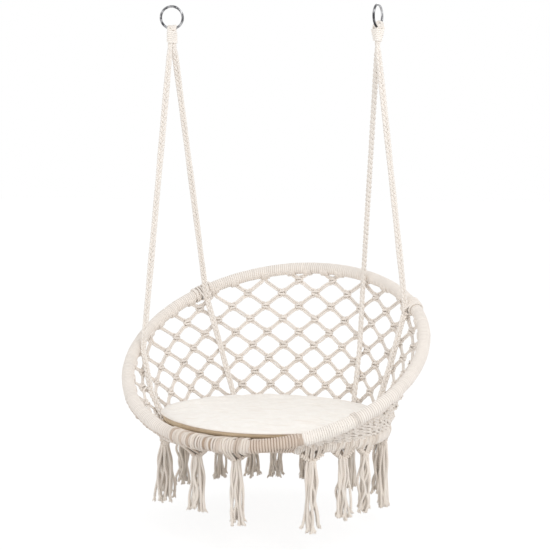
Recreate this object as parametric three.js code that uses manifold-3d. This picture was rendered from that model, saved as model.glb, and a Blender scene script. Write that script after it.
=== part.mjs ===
// A round hammock chair: two cord-wrapped hoops joined by a knotted cotton net, hung by ropes
// from two steel rings, with a round cushion on the seat net and tassels under the lower hoop.
// Millimetres. +Z is up, the open front faces -Y, and +X is the viewer's right.
// The origin is midway between the two rings, at the height where hooks carry them.
import * as THREE from "three";
import Module from "manifold-3d";

const wasm = await Module();
wasm.setup();

// Gap left between pieces that touch.
const clearance = 0.3;

// Steel rings.
const ringOuterDiameter = 60;
const ringWireDiameter = 6;
const ringSpan = 510;
const leftRingTurn = 12;
const rightRingTurn = 70;

// Hoops: steel rods wrapped in cotton cord.
const upperHoopOuterDiameter = 800;
const lowerHoopOuterDiameter = 600;
const hoopRodDiameter = 25.4;
const wrapThickness = 3.0;
const wrapSeamGap = 1.2;
const wrapSeamAngle = 279;
const upperHoopDrop = 856;
const upperHoopSetback = 11.5;
const upperHoopTilt = 26.3;
const upperHoopLean = -7.25;
const lowerHoopTilt = -3.4;
const hoopNestAngle = 16;

// Hanging ropes. Each one runs from the lower hoop, past the upper hoop, over its ring and back down.
const ropeDiameter = 14;
const ropePlayOnRing = 1.9;
const ropeGapOnRing = 0.75;
const ropeBendReach = 9;
const leftSideTopAngle = 170;
const leftBackTopAngle = 125;
const rightBackTopAngle = 50.5;
const rightSideTopAngle = 19.5;
const leftSideFootAngle = 190;
const leftBackFootAngle = 118;
const rightBackFootAngle = 45;
const rightSideFootAngle = 22;
const legPairGap = 0.6;

// Whippings that bind each rope's two legs below its ring.
const whippingCordDiameter = 4.6;
const whippingTurns = 6;
const whippingTopBelowWire = 11;
const windingPlay = 1.2;
const windingPitchGap = 0.5;

// The binding that ties the two hoops together at the front.
const bindingCordDiameter = 5;
const bindingPlay = 2.3;
const bindingAngle = 277;
const bindingSpreadAngle = 21;

// The net between the hoops.
const netColumnCount = 24;
const netRowShare = 0.0946;
const netStrandWidth = 10;
const netStrandThickness = 6;
const netKnotThickness = 12;
const panelHalfColumns = 4;

// The seat net inside the lower hoop.
const seatNetThickness = 6;
const seatNetCell = 74;
const seatNetStrandWidth = 9;
const seatNetRimWidth = 13;

// The cushion.
const cushionEdgeOverhang = 6;
const cushionThickness = 50;
const cushionEdgeRise = 33;
const cushionBottomInset = 26;
const cushionRopePlay = 1;
const cushionNetPlay = 1;
const cushionDentAngle = 8;

// Tassels.
const tasselLength = 180;
const tasselGatherDrop = 24;
const tasselTopShare = 0.0348;
const tasselTopThickness = 14;
const tasselNeckWidth = 24;
const tasselNeckThickness = 18;
const tasselFootWidth = 36;
const tasselFootThickness = 24;
const tasselPlaceShares = [0, 0.057, 0.136, 0.216, 0.266, 0.302, 0.355, 0.432, 0.5, 0.5625, 0.656, 0.718, 0.821, 0.87, 0.914];
const tasselLengthShares = [1.06, 1, 1.08, 1.05, 1, 0.99, 0.97, 0.98, 0.96, 0.94, 0.93, 1.02, 1.12, 1.01, 0.96];

const degrees = THREE.MathUtils.degToRad;
const fullTurn = 2 * Math.PI;
const quarterTurn = Math.PI / 2;

const ringWireRadius = ringWireDiameter / 2;
const ringRadius = ringOuterDiameter / 2 - ringWireRadius;
const ringDrop = ringOuterDiameter / 2 - ringWireDiameter;
const ringWireHeight = -ringDrop - ringRadius;
const rodRadius = hoopRodDiameter / 2;
const wrapInnerRadius = rodRadius + clearance;
const wrapRadius = wrapInnerRadius + wrapThickness;
const upperHoopRadius = upperHoopOuterDiameter / 2 - wrapRadius;
const lowerHoopRadius = lowerHoopOuterDiameter / 2 - wrapRadius;
const ropeRadius = ropeDiameter / 2;
const netRowHeight = netRowShare * upperHoopRadius;
const tasselTopWidth = tasselTopShare * fullTurn * lowerHoopRadius;
const upperHoopSides = 48;
const lowerHoopSides = 40;
const wrapSides = 8;

const steel = { color: 0xb9bbbd, roughness: 0.28, metalness: 1 };
const cotton = { color: 0xe9e0d4, roughness: 0.9, metalness: 0 };
const knottedCotton = { color: 0xd9cbb9, roughness: 0.95, metalness: 0 };
const cushionCloth = { color: 0xf4efe6, roughness: 0.85, metalness: 0 };
const rodSteel = { color: 0x8d8f90, roughness: 0.5, metalness: 0.8 };

const chair = new THREE.Group();

function addPiece(parent, name, geometry, finish) {
  const mesh = new THREE.Mesh(geometry, new THREE.MeshStandardMaterial(finish));
  mesh.name = name;
  parent.add(mesh);
  return mesh;
}

// Where the hoops lie.
const upperHoopGroup = new THREE.Group();
upperHoopGroup.position.set(0, upperHoopSetback, -upperHoopDrop);
upperHoopGroup.rotation.set(degrees(upperHoopTilt), degrees(upperHoopLean), 0, "YXZ");
upperHoopGroup.updateMatrix();
const upperHoopInverse = upperHoopGroup.matrix.clone().invert();

function upperHoopPoint(angle, outward = 0, along = 0) {
  const reach = upperHoopRadius + outward;
  const point = new THREE.Vector3(reach * Math.cos(angle), reach * Math.sin(angle), along);
  return point.applyMatrix4(upperHoopGroup.matrix);
}

// Each hoop is a polygon with its first corner at the wrap's seam. This is its reach at an angle.
function facetedReach(radius, sides, angle) {
  const facet = fullTurn / sides;
  const fromSeam = angle - degrees(wrapSeamAngle);
  const fromCorner = ((fromSeam % facet) + facet) % facet;
  return (radius * Math.cos(facet / 2)) / Math.cos(fromCorner - facet / 2);
}

// How far a point lies outside the flats of a hoop's wrap.
function wrapGap(point, radius, sides) {
  const across = Math.hypot(point.x, point.y) - facetedReach(radius, sides, Math.atan2(point.y, point.x));
  const facet = fullTurn / wrapSides;
  const direction = Math.atan2(point.z, across);
  const fromCorner = ((direction % facet) + facet) % facet;
  return Math.hypot(across, point.z) * Math.cos(fromCorner - facet / 2) - wrapRadius * Math.cos(facet / 2);
}

function upperHoopGap(point) {
  return wrapGap(point.clone().applyMatrix4(upperHoopInverse), upperHoopRadius, upperHoopSides);
}

// The lower hoop is tipped a little, front up, and nests just behind and below the upper hoop's front.
const lowerHoopGroup = new THREE.Group();
lowerHoopGroup.rotation.x = degrees(lowerHoopTilt);
const lowerHoopInverse = new THREE.Matrix4();

function lowerHoopPoint(angle, outward = 0, up = 0) {
  const reach = lowerHoopRadius + outward;
  const point = new THREE.Vector3(reach * Math.cos(angle), reach * Math.sin(angle), up);
  return point.applyMatrix4(lowerHoopGroup.matrix);
}

// A point as the lower hoop sees it: from its centre, with its plane level.
function seenFromLowerHoop(point) {
  return point.clone().applyMatrix4(lowerHoopInverse);
}

function lowerHoopGap(point) {
  return wrapGap(seenFromLowerHoop(point), lowerHoopRadius, lowerHoopSides);
}

function putLowerHoop(place) {
  lowerHoopGroup.position.copy(place);
  lowerHoopGroup.updateMatrix();
  lowerHoopInverse.copy(lowerHoopGroup.matrix).invert();
}

function nestLowerHoop() {
  const count = 360;
  const points = Array.from({ length: count }, (_, i) => upperHoopPoint((i / count) * fullTurn));
  const nest = new THREE.Vector3(0, Math.cos(degrees(hoopNestAngle)), -Math.sin(degrees(hoopNestAngle)));
  const start = new THREE.Vector3(0, lowerHoopRadius, 0).applyEuler(lowerHoopGroup.rotation);
  start.add(upperHoopPoint(-quarterTurn)).setX(0);
  let near = 0;
  let far = 4 * wrapRadius;
  for (let i = 0; i < 40; i += 1) {
    const step = (near + far) / 2;
    putLowerHoop(start.clone().addScaledVector(nest, step));
    if (Math.min(...points.map(lowerHoopGap)) < wrapRadius + clearance) {
      near = step;
    } else {
      far = step;
    }
  }
  putLowerHoop(start.clone().addScaledVector(nest, far));
}

nestLowerHoop();

function hoopGap(points) {
  return Math.min(...points.map((point) => Math.min(upperHoopGap(point), lowerHoopGap(point))));
}

// A route through chosen points, with a section of the tube at each of them.
class RouteCurve extends THREE.Curve {
  constructor(points) {
    super();
    this.points = points;
  }

  getPoint(share, target = new THREE.Vector3()) {
    const last = this.points.length - 1;
    const place = share * last;
    const index = Math.min(Math.floor(place), last - 1);
    return target.lerpVectors(this.points[index], this.points[index + 1], place - index);
  }

  getPointAt(share, target) {
    return this.getPoint(share, target);
  }

  getTangentAt(share, target = new THREE.Vector3()) {
    const last = this.points.length - 1;
    const index = Math.round(share * last);
    const here = this.points[index];
    const before = this.points[Math.max(index - 1, 0)];
    const after = this.points[Math.min(index + 1, last)];
    const arriving = here.clone().sub(before).normalize();
    const leaving = after.clone().sub(here).normalize();
    return target.copy(arriving).add(leaving).normalize();
  }
}

function roundSection(radius, sides, startAngle = 0) {
  const corners = Array.from({ length: sides }, (_, i) => {
    const angle = startAngle + (i / sides) * fullTurn;
    return new THREE.Vector2(radius * Math.cos(angle), radius * Math.sin(angle));
  });
  return new THREE.Shape(corners);
}

function alongRoute(section, points) {
  const settings = { steps: points.length - 1, bevelEnabled: false, extrudePath: new RouteCurve(points) };
  return new THREE.ExtrudeGeometry(section, settings);
}

// A closed body through rings of points, with a point at the middle of each end.
function closedLoft(rings, startMiddle, endMiddle) {
  const count = rings[0].length;
  const points = [...rings.flat(), startMiddle, endMiddle];
  const start = points.length - 2;
  const end = points.length - 1;
  const lastRing = (rings.length - 1) * count;
  const triangles = [];
  for (let i = 0; i < count; i += 1) {
    const next = (i + 1) % count;
    for (let row = 0; row < rings.length - 1; row += 1) {
      const low = row * count;
      const high = low + count;
      triangles.push(low + i, low + next, high + next, low + i, high + next, high + i);
    }
    triangles.push(start, next, i, end, lastRing + i, lastRing + next);
  }
  return fromTriangles(points, triangles);
}

function fromTriangles(points, triangles) {
  const geometry = new THREE.BufferGeometry();
  geometry.setFromPoints(points);
  geometry.setIndex(triangles);
  geometry.computeVertexNormals();
  return geometry;
}

// Steel rings, each turned a little on its hook.
function addRing(name, side, turn) {
  const ring = addPiece(chair, name, new THREE.TorusGeometry(ringRadius, ringWireRadius, 6, 24), steel);
  ring.position.set((side * ringSpan) / 2, 0, -ringDrop);
  ring.rotation.set(quarterTurn, 0, degrees(turn), "ZYX");
}

addRing("ring_left", -1, leftRingTurn);
addRing("ring_right", 1, rightRingTurn);

// Hoops.
function addHoop(group, name, radius, seamAngle, segments) {
  chair.add(group);
  const rod = addPiece(group, `${name}_rod`, new THREE.TorusGeometry(radius, rodRadius, 6, segments), rodSteel);
  rod.rotation.z = seamAngle;
  const seam = wrapSeamGap / radius;
  const route = Array.from({ length: segments + 1 }, (_, i) => {
    const angle = seamAngle + seam / 2 + (i / segments) * (fullTurn - seam);
    return new THREE.Vector3(radius * Math.cos(angle), radius * Math.sin(angle), 0);
  });
  const section = roundSection(wrapRadius, wrapSides);
  section.holes.push(roundSection(wrapInnerRadius, 6, quarterTurn));
  addPiece(group, `${name}_wrap`, alongRoute(section, route), cotton);
}

addHoop(upperHoopGroup, "upper_hoop", upperHoopRadius, degrees(wrapSeamAngle), upperHoopSides);
addHoop(lowerHoopGroup, "lower_hoop", lowerHoopRadius, degrees(wrapSeamAngle), lowerHoopSides);

// The net's surface: straight lines from the lower hoop to the upper one, at equal angles round both.
function netHeight(angle) {
  return upperHoopPoint(angle).distanceTo(lowerHoopPoint(angle));
}

function netPoint(angle, rise) {
  const low = lowerHoopPoint(angle);
  return low.lerp(upperHoopPoint(angle), rise / netHeight(angle));
}

function netFrame(angle, rise) {
  const nudge = 0.01;
  const point = netPoint(angle, rise);
  const up = upperHoopPoint(angle).sub(lowerHoopPoint(angle)).normalize();
  const round = netPoint(angle + nudge, rise).sub(netPoint(angle - nudge, rise)).normalize();
  const outward = round.clone().cross(up).normalize();
  const across = up.clone().cross(outward).normalize();
  return { point, up, across, outward };
}

const halfColumn = fullTurn / (2 * netColumnCount);
const halfColumnCount = 2 * netColumnCount;
const firstHalfColumn = -10;
const knotReach = netStrandWidth / Math.SQRT2;

function isBelowHoop(column, row) {
  return row * netRowHeight + wrapRadius + netStrandWidth < netHeight(column * halfColumn);
}

// A knot is a square standing on its corner: its four edges are where strands leave it.
function makeKnot(column, row) {
  const angle = column * halfColumn;
  const frame = netFrame(angle, row * netRowHeight);
  const corners = [0, 1, 2, 3].map((quarter) => {
    const turn = quarter * quarterTurn;
    const place = frame.point.clone();
    place.addScaledVector(frame.across, knotReach * Math.cos(turn));
    return place.addScaledVector(frame.up, knotReach * Math.sin(turn));
  });
  const lift = netStrandThickness / 2;
  return {
    column,
    row,
    outer: corners.map((corner) => corner.clone().addScaledVector(frame.outward, lift)),
    inner: corners.map((corner) => corner.clone().addScaledVector(frame.outward, -lift)),
    front: frame.point.clone().addScaledVector(frame.outward, netKnotThickness / 2),
    back: frame.point.clone().addScaledVector(frame.outward, -netKnotThickness / 2),
  };
}

// The four strand directions of a knot, one for each edge of its square.
const strandSteps = [
  { column: 1, row: 1 },
  { column: -1, row: 1 },
  { column: -1, row: -1 },
  { column: 1, row: -1 },
];

function portRing(knot, port) {
  const next = (port + 1) % 4;
  return [knot.outer[port], knot.inner[port], knot.inner[next], knot.outer[next]];
}

// Two strands that lean towards each other stop this share of the way across, side by side.
const strandMeetShare = 0.84;

// The far end of a strand that runs on from a knot until it meets a hoop's wrap.
function ringAtHoop(knot, port) {
  const step = strandSteps[port];
  const start = portRing(knot, port);
  function ringAt(share) {
    const sideways = Math.min(share, strandMeetShare);
    const angle = (knot.column + step.column * sideways) * halfColumn;
    const rise = (knot.row + step.row * share) * netRowHeight;
    const frame = netFrame(angle, rise);
    const heading = frame.point.clone().sub(knot.front.clone().add(knot.back).multiplyScalar(0.5)).normalize();
    const side = heading.clone().cross(frame.outward).normalize();
    const halfWidth = netStrandWidth / 2;
    const lift = netStrandThickness / 2;
    return [[1, 1], [1, -1], [-1, -1], [-1, 1]].map(([across, out]) => {
      const corner = frame.point.clone().addScaledVector(side, across * halfWidth);
      return corner.addScaledVector(frame.outward, out * lift);
    });
  }
  function gapOf(ring) {
    const middles = ring.map((corner, i) => corner.clone().lerp(ring[(i + 1) % 4], 0.5));
    return hoopGap([...ring, ...middles, ring[0].clone().lerp(ring[2], 0.5)]);
  }
  const fineness = 200;
  for (let i = Math.round(fineness * 0.15); i < 2 * fineness; i += 1) {
    if (gapOf(ringAt((i + 1) / fineness)) < 2 * clearance) {
      const ring = ringAt(i / fineness);
      return ring[0].distanceTo(start[0]) > clearance ? ring : null;
    }
  }
  return null;
}

// Every knot of the net, by its place.
const knots = new Map();
function knotAt(column, row) {
  const wrapped = ((column % halfColumnCount) + halfColumnCount) % halfColumnCount;
  return knots.get(`${wrapped}_${row}`);
}

for (let column = 0; column < halfColumnCount; column += 1) {
  for (let row = 1; isBelowHoop(column, row); row += 1) {
    const knot = makeKnot(column, row);
    const isClear = hoopGap([...knot.outer, ...knot.inner, knot.front, knot.back]) > netStrandThickness;
    if ((column + row) % 2 !== 0 && isClear) {
      knots.set(`${column}_${row}`, knot);
    }
  }
}

function hasNeighbour(knot) {
  return strandSteps.some((step) => knotAt(knot.column + step.column, knot.row + step.row));
}

for (const [place, knot] of [...knots]) {
  if (!hasNeighbour(knot)) {
    knots.delete(place);
  }
}

function panelOf(column) {
  const place = (((column - firstHalfColumn) % halfColumnCount) + halfColumnCount) % halfColumnCount;
  return Math.floor(place / panelHalfColumns);
}

// One panel of the net: its knots, the strands up from them and those that end on a hoop.
function netPanel(panel) {
  const own = [...knots.values()].filter((knot) => panelOf(knot.column) === panel);
  const points = [];
  const indexOf = new Map();
  const triangles = [];
  function indexFor(point) {
    if (!indexOf.has(point)) {
      indexOf.set(point, points.length);
      points.push(point);
    }
    return indexOf.get(point);
  }
  function addQuad(a, b, c, d) {
    const [i, j, k, l] = [a, b, c, d].map(indexFor);
    triangles.push(i, j, k, i, k, l);
  }
  function addTriangle(a, b, c) {
    triangles.push(indexFor(a), indexFor(b), indexFor(c));
  }
  function addStrand(start, end, isOpen) {
    for (let side = 0; side < 4; side += 1) {
      const next = (side + 1) % 4;
      addQuad(start[side], start[next], end[next], end[side]);
    }
    if (!isOpen) {
      addQuad(...end);
    }
  }
  function facingRing(knot, port) {
    const [outerFirst, innerFirst, innerSecond, outerSecond] = portRing(knot, port);
    return [outerSecond, innerSecond, innerFirst, outerFirst];
  }
  for (const knot of own) {
    for (let port = 0; port < 4; port += 1) {
      const next = (port + 1) % 4;
      addTriangle(knot.outer[port], knot.outer[next], knot.front);
      addTriangle(knot.inner[next], knot.inner[port], knot.back);
      const start = portRing(knot, port);
      const step = strandSteps[port];
      const neighbour = knotAt(knot.column + step.column, knot.row + step.row);
      if (!neighbour) {
        const end = ringAtHoop(knot, port);
        if (end) {
          addStrand(start, end, false);
        } else {
          addQuad(...start);
        }
        continue;
      }
      const isSamePanel = panelOf(neighbour.column) === panel;
      if (step.row > 0) {
        const facing = facingRing(neighbour, (port + 2) % 4);
        if (isSamePanel) {
          addStrand(start, facing, true);
        } else {
          const share = clearance / start[0].distanceTo(facing[0]);
          addStrand(start, facing.map((corner, i) => corner.clone().lerp(start[i], share)), false);
        }
      } else if (!isSamePanel) {
        addQuad(...start);
      }
    }
  }
  return fromTriangles(points, triangles);
}

const panelCount = 10;
for (let panel = 0; panel < panelCount; panel += 1) {
  const number = String(panel + 1).padStart(2, "0");
  addPiece(chair, `net_panel_${number}`, netPanel(panel), knottedCotton);
}

// The binding's pitch keeps its turns apart on the hoop's tighter inner side.
const bindingReach = wrapRadius + bindingPlay + bindingCordDiameter / 2;
const bindingPitch = ((bindingCordDiameter + windingPitchGap) * lowerHoopRadius) / (lowerHoopRadius - bindingReach);
const bindingTurns = Math.floor((degrees(bindingSpreadAngle) * lowerHoopRadius) / bindingPitch);

// A convex outline cut down to the part of it inside a round outline.
function clippedToRound(corners, radius, sides) {
  const reach = radius * Math.cos(Math.PI / sides);
  let kept = corners;
  for (let side = 0; side < sides; side += 1) {
    const angle = ((side + 0.5) / sides) * fullTurn;
    const outward = new THREE.Vector2(Math.cos(angle), Math.sin(angle));
    const cut = [];
    kept.forEach((corner, i) => {
      const next = kept[(i + 1) % kept.length];
      const excess = corner.dot(outward) - reach;
      const nextExcess = next.dot(outward) - reach;
      if (excess <= 0) {
        cut.push(corner);
      }
      if (excess * nextExcess < 0) {
        cut.push(corner.clone().lerp(next, excess / (excess - nextExcess)));
      }
    });
    kept = cut;
  }
  return kept.filter((corner, i) => corner.distanceTo(kept[(i + 1) % kept.length]) > clearance);
}

// A plate of a flat outline, with its middle at the hoop's height.
function levelPlate(shape, thickness) {
  const geometry = new THREE.ExtrudeGeometry(shape, { depth: thickness, bevelEnabled: false });
  return geometry.translate(0, 0, -thickness / 2);
}

function toSolid(geometry) {
  const vertProperties = geometry.attributes.position.array;
  const triVerts = Uint32Array.from({ length: geometry.attributes.position.count }, (_, i) => i);
  const mesh = new wasm.Mesh({ numProp: 3, vertProperties, triVerts });
  mesh.merge();
  return new wasm.Manifold(mesh);
}

function fromSolid(solid) {
  const mesh = solid.getMesh();
  const geometry = new THREE.BufferGeometry();
  geometry.setAttribute("position", new THREE.BufferAttribute(mesh.vertProperties, 3));
  geometry.setIndex(new THREE.BufferAttribute(mesh.triVerts, 1));
  geometry.computeVertexNormals();
  return geometry;
}

// The seat net's outline steps inwards where the binding passes round the hoop.
function seatNetOutline(radius, sides) {
  const notchDepth = bindingPlay + bindingCordDiameter + clearance;
  const notchReach = (bindingTurns * bindingPitch + bindingCordDiameter) / 2 + bindingPlay;
  const notchHalf = notchReach / lowerHoopRadius;
  const middle = degrees(bindingAngle);
  const facets = Array.from({ length: sides }, (_, i) => (i / sides) * fullTurn);
  const stops = facets.map((angle) => ({ angle, isNotch: Math.abs(angle - middle) < notchHalf }));
  for (const side of [-1, 1]) {
    stops.push({ angle: middle + side * notchHalf, isNotch: true });
    stops.push({ angle: middle + side * (notchHalf + notchDepth / radius), isNotch: false });
  }
  stops.sort((a, b) => a.angle - b.angle);
  return stops.map(({ angle, isNotch }) => {
    const reach = facetedReach(radius, sides, angle) - (isNotch ? notchDepth : 0);
    return new THREE.Vector2(reach * Math.cos(angle), reach * Math.sin(angle));
  });
}

// The seat net: a diagonal mesh with a rim that lies inside the lower hoop.
function seatNetGeometry() {
  const outerRadius = lowerHoopRadius - wrapRadius - clearance;
  const rimRadius = outerRadius - seatNetRimWidth;
  const sides = lowerHoopSides;
  const disc = levelPlate(new THREE.Shape(seatNetOutline(outerRadius, sides)), seatNetThickness);
  const cells = [];
  const cellReach = seatNetCell / 2;
  const holeReach = cellReach - seatNetStrandWidth / Math.SQRT2;
  const leastHoleArea = seatNetStrandWidth * seatNetStrandWidth;
  const count = Math.ceil(outerRadius / cellReach);
  for (let column = -count; column <= count; column += 1) {
    for (let row = -count; row <= count; row += 1) {
      const centre = new THREE.Vector2(column * cellReach, row * cellReach);
      if ((column + row) % 2 !== 0 || centre.length() > outerRadius + holeReach) {
        continue;
      }
      const corners = [0, 1, 2, 3].map((quarter) => {
        const turn = quarter * quarterTurn;
        return new THREE.Vector2(Math.cos(turn), Math.sin(turn)).multiplyScalar(holeReach).add(centre);
      });
      const hole = clippedToRound(corners, rimRadius, sides);
      if (hole.length > 2 && Math.abs(THREE.ShapeUtils.area(hole)) > leastHoleArea) {
        cells.push(levelPlate(new THREE.Shape(hole), 2 * seatNetThickness));
      }
    }
  }
  return fromSolid(toSolid(disc).subtract(wasm.Manifold.union(cells.map(toSolid))));
}

addPiece(lowerHoopGroup, "seat_net", seatNetGeometry(), knottedCotton);

// Ropes. The route of one rope's half, from its foot on the lower hoop to its ring.
const tailInset = netKnotThickness / 2 + ropeRadius + 3 * clearance;
const besideHoop = wrapRadius + ropeRadius + clearance;
const bightRadius = ringWireRadius + ropeRadius + ropePlayOnRing;
const legOffset = ropeRadius + legPairGap / 2;
const whippingRadius = whippingCordDiameter / 2;
const whippingPitch = whippingCordDiameter + windingPitchGap;
const whippingTop = ringWireHeight - whippingTopBelowWire;
const whippingBottom = whippingTop - whippingTurns * whippingPitch;
const legSplitHeight = whippingBottom - whippingCordDiameter;
const eyeHeight = ringWireHeight - ropePlayOnRing + ropeGapOnRing;

function tailPoint(topAngle, footAngle, share) {
  const angle = topAngle + (footAngle - topAngle) * share;
  const frame = netFrame(angle, netHeight(angle) * (1 - share));
  return frame.point.addScaledVector(frame.outward, -tailInset);
}

// A rope's tail: from its foot on the lower hoop to halfway up the basket.
function ropeTail(topAngle, footAngle) {
  const middle = tailPoint(topAngle, footAngle, 0.5);
  const aim = tailPoint(topAngle, footAngle, 1);
  const heading = aim.clone().sub(middle).normalize();
  const sideways = new THREE.Vector3(-heading.y, heading.x, 0).normalize();
  const level = heading.clone().cross(sideways).normalize();
  const sides = 8;
  function endRim(reach) {
    return Array.from({ length: sides }, (_, i) => {
      const angle = (i / sides) * fullTurn;
      const rim = middle.clone().addScaledVector(heading, reach);
      rim.addScaledVector(sideways, ropeRadius * Math.cos(angle));
      return rim.addScaledVector(level, ropeRadius * Math.sin(angle));
    });
  }
  let reach = aim.distanceTo(middle);
  while (hoopGap(endRim(reach)) < clearance) {
    reach -= clearance / 2;
  }
  return [middle.clone().addScaledVector(heading, reach), middle];
}

// The rope bends round the upper hoop's inner side on its way up to the ring.
function ropeHalf(topAngle, footAngle, legStart) {
  const [foot, middle] = ropeTail(topAngle, footAngle);
  const rim = upperHoopPoint(topAngle);
  const outward = rim.clone().sub(upperHoopPoint(topAngle, -besideHoop)).normalize();
  const touch = rim.clone().addScaledVector(outward, -besideHoop);
  let bend = [];
  for (let i = 0; i < 8; i += 1) {
    const down = middle.clone().sub(touch).normalize();
    const up = legStart.clone().sub(touch).normalize();
    bend = [down, up].map((way) => touch.clone().addScaledVector(way, ropeBendReach));
    const samples = [0, 0.25, 0.5, 0.75, 1].map((share) => bend[0].clone().lerp(bend[1], share));
    const spare = Math.min(...samples.map(upperHoopGap)) - ropeRadius - clearance;
    touch.addScaledVector(outward, spare);
  }
  return [foot, middle, ...bend];
}

// A leg's place beside its partner: they turn about each other between the ring and the whipping's foot.
function legPlace(side, height, startTurn, endTurn, sign) {
  const share = THREE.MathUtils.clamp((eyeHeight - height) / (eyeHeight - whippingBottom), 0, 1);
  const settle = THREE.MathUtils.clamp((eyeHeight - height) / (eyeHeight - whippingTop), 0, 1);
  const turn = degrees(startTurn + (endTurn - startTurn) * share);
  const reach = bightRadius + (legOffset - bightRadius) * settle;
  const x = (side * ringSpan) / 2 + sign * reach * Math.cos(turn);
  return new THREE.Vector3(x, sign * reach * Math.sin(turn), height);
}

function ropeRoute(side, rope) {
  const heights = [legSplitHeight, whippingBottom, (whippingTop + whippingBottom) / 2, whippingTop];
  heights.push((whippingTop + eyeHeight) / 2);
  const front = heights.map((height) => legPlace(side, height, rope.startTurn, rope.endTurn, -1));
  const back = heights.map((height) => legPlace(side, height, rope.startTurn, rope.endTurn, 1));
  const centre = new THREE.Vector3((side * ringSpan) / 2, 0, eyeHeight);
  const across = new THREE.Vector3(Math.cos(degrees(rope.startTurn)), Math.sin(degrees(rope.startTurn)), 0);
  const bightSteps = 9;
  const bight = Array.from({ length: bightSteps + 1 }, (_, i) => {
    const angle = Math.PI * (1 - i / bightSteps);
    const place = centre.clone().addScaledVector(across, bightRadius * Math.cos(angle));
    place.z += bightRadius * Math.sin(angle);
    return place;
  });
  const sideHalf = ropeHalf(degrees(rope.sideTop), degrees(rope.sideFoot), front[0]);
  const backHalf = ropeHalf(degrees(rope.backTop), degrees(rope.backFoot), back[0]);
  return [...sideHalf, ...front, ...bight, ...back.reverse(), ...backHalf.reverse()];
}

const leftRope = {
  startTurn: 90 + leftRingTurn,
  endTurn: 30,
  sideTop: leftSideTopAngle,
  backTop: leftBackTopAngle,
  sideFoot: leftSideFootAngle,
  backFoot: leftBackFootAngle,
};
const rightRope = {
  startTurn: 90 + rightRingTurn,
  endTurn: 97,
  sideTop: rightSideTopAngle,
  backTop: rightBackTopAngle,
  sideFoot: rightSideFootAngle,
  backFoot: rightBackFootAngle,
};

addPiece(chair, "rope_left", alongRoute(roundSection(ropeRadius, 8), ropeRoute(-1, leftRope)), cotton);
addPiece(chair, "rope_right", alongRoute(roundSection(ropeRadius, 8), ropeRoute(1, rightRope)), cotton);

// A winding is a helix round two parallel round bars, sampled clear of the line between them.
function windingPoint(first, second, reach, angle) {
  const axis = second.clone().sub(first).setZ(0).normalize();
  const normal = new THREE.Vector3(-axis.y, axis.x, 0);
  const near = Math.cos(angle) < 0 ? first : second;
  const place = near.clone().addScaledVector(axis, reach * Math.cos(angle));
  return place.addScaledVector(normal, reach * Math.sin(angle));
}

// The least gap between a winding's turns, measured on its points.
function leastGap(points, stepsPerTurn, diameter) {
  let least = Infinity;
  for (let i = 0; i < points.length; i += 1) {
    for (let j = i + Math.ceil(stepsPerTurn / 2) + 1; j < points.length; j += 1) {
      least = Math.min(least, points[i].distanceTo(points[j]) - diameter);
    }
  }
  return least;
}

function addWinding(name, points, stepsPerTurn, diameter, finish) {
  console.log(`${name}: least gap to itself ${leastGap(points, stepsPerTurn, diameter).toFixed(2)} mm`);
  addPiece(chair, name, alongRoute(roundSection(diameter / 2, 5), points), finish);
}

function whippingRoute(side, rope) {
  const stepsPerTurn = 12;
  const reach = ropeRadius + windingPlay + whippingRadius;
  return Array.from({ length: stepsPerTurn * whippingTurns + 1 }, (_, i) => {
    const height = whippingTop - (i / stepsPerTurn) * whippingPitch;
    const first = legPlace(side, height, rope.startTurn, rope.endTurn, -1);
    const second = legPlace(side, height, rope.startTurn, rope.endTurn, 1);
    return windingPoint(first, second, reach, ((i + 0.5) / stepsPerTurn) * fullTurn);
  });
}

addWinding("ring_whipping_left", whippingRoute(-1, leftRope), 12, whippingCordDiameter, cotton);
addWinding("ring_whipping_right", whippingRoute(1, rightRope), 12, whippingCordDiameter, cotton);

// The upper hoop's angle at the place that faces the lower hoop at a given angle.
function upperAngleFacing(lowerAngle) {
  let angle = lowerAngle;
  for (let i = 0; i < 20; i += 1) {
    const fromCentre = seenFromLowerHoop(upperHoopPoint(angle));
    const off = lowerAngle - Math.atan2(fromCentre.y, fromCentre.x);
    angle += Math.atan2(Math.sin(off), Math.cos(off));
  }
  return angle;
}

// The binding winds round both hoops where they run side by side.
function bindingRoute() {
  const stepsPerTurn = 14;
  return Array.from({ length: stepsPerTurn * bindingTurns + 1 }, (_, i) => {
    const shift = ((i / stepsPerTurn - bindingTurns / 2) * bindingPitch) / lowerHoopRadius;
    const angle = degrees(bindingAngle) + shift;
    const lower = lowerHoopPoint(angle);
    const upper = upperHoopPoint(upperAngleFacing(angle));
    const along = new THREE.Vector3(-Math.sin(angle), Math.cos(angle), 0).transformDirection(lowerHoopGroup.matrix);
    const axis = upper.clone().sub(lower).normalize();
    const normal = along.clone().cross(axis).normalize();
    const turn = ((i + 0.5) / stepsPerTurn) * fullTurn;
    const near = Math.cos(turn) < 0 ? lower : upper;
    const place = near.clone().addScaledVector(axis, bindingReach * Math.cos(turn));
    return place.addScaledVector(normal, bindingReach * Math.sin(turn));
  });
}

addWinding("front_binding", bindingRoute(), 14, bindingCordDiameter, knottedCotton);

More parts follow.
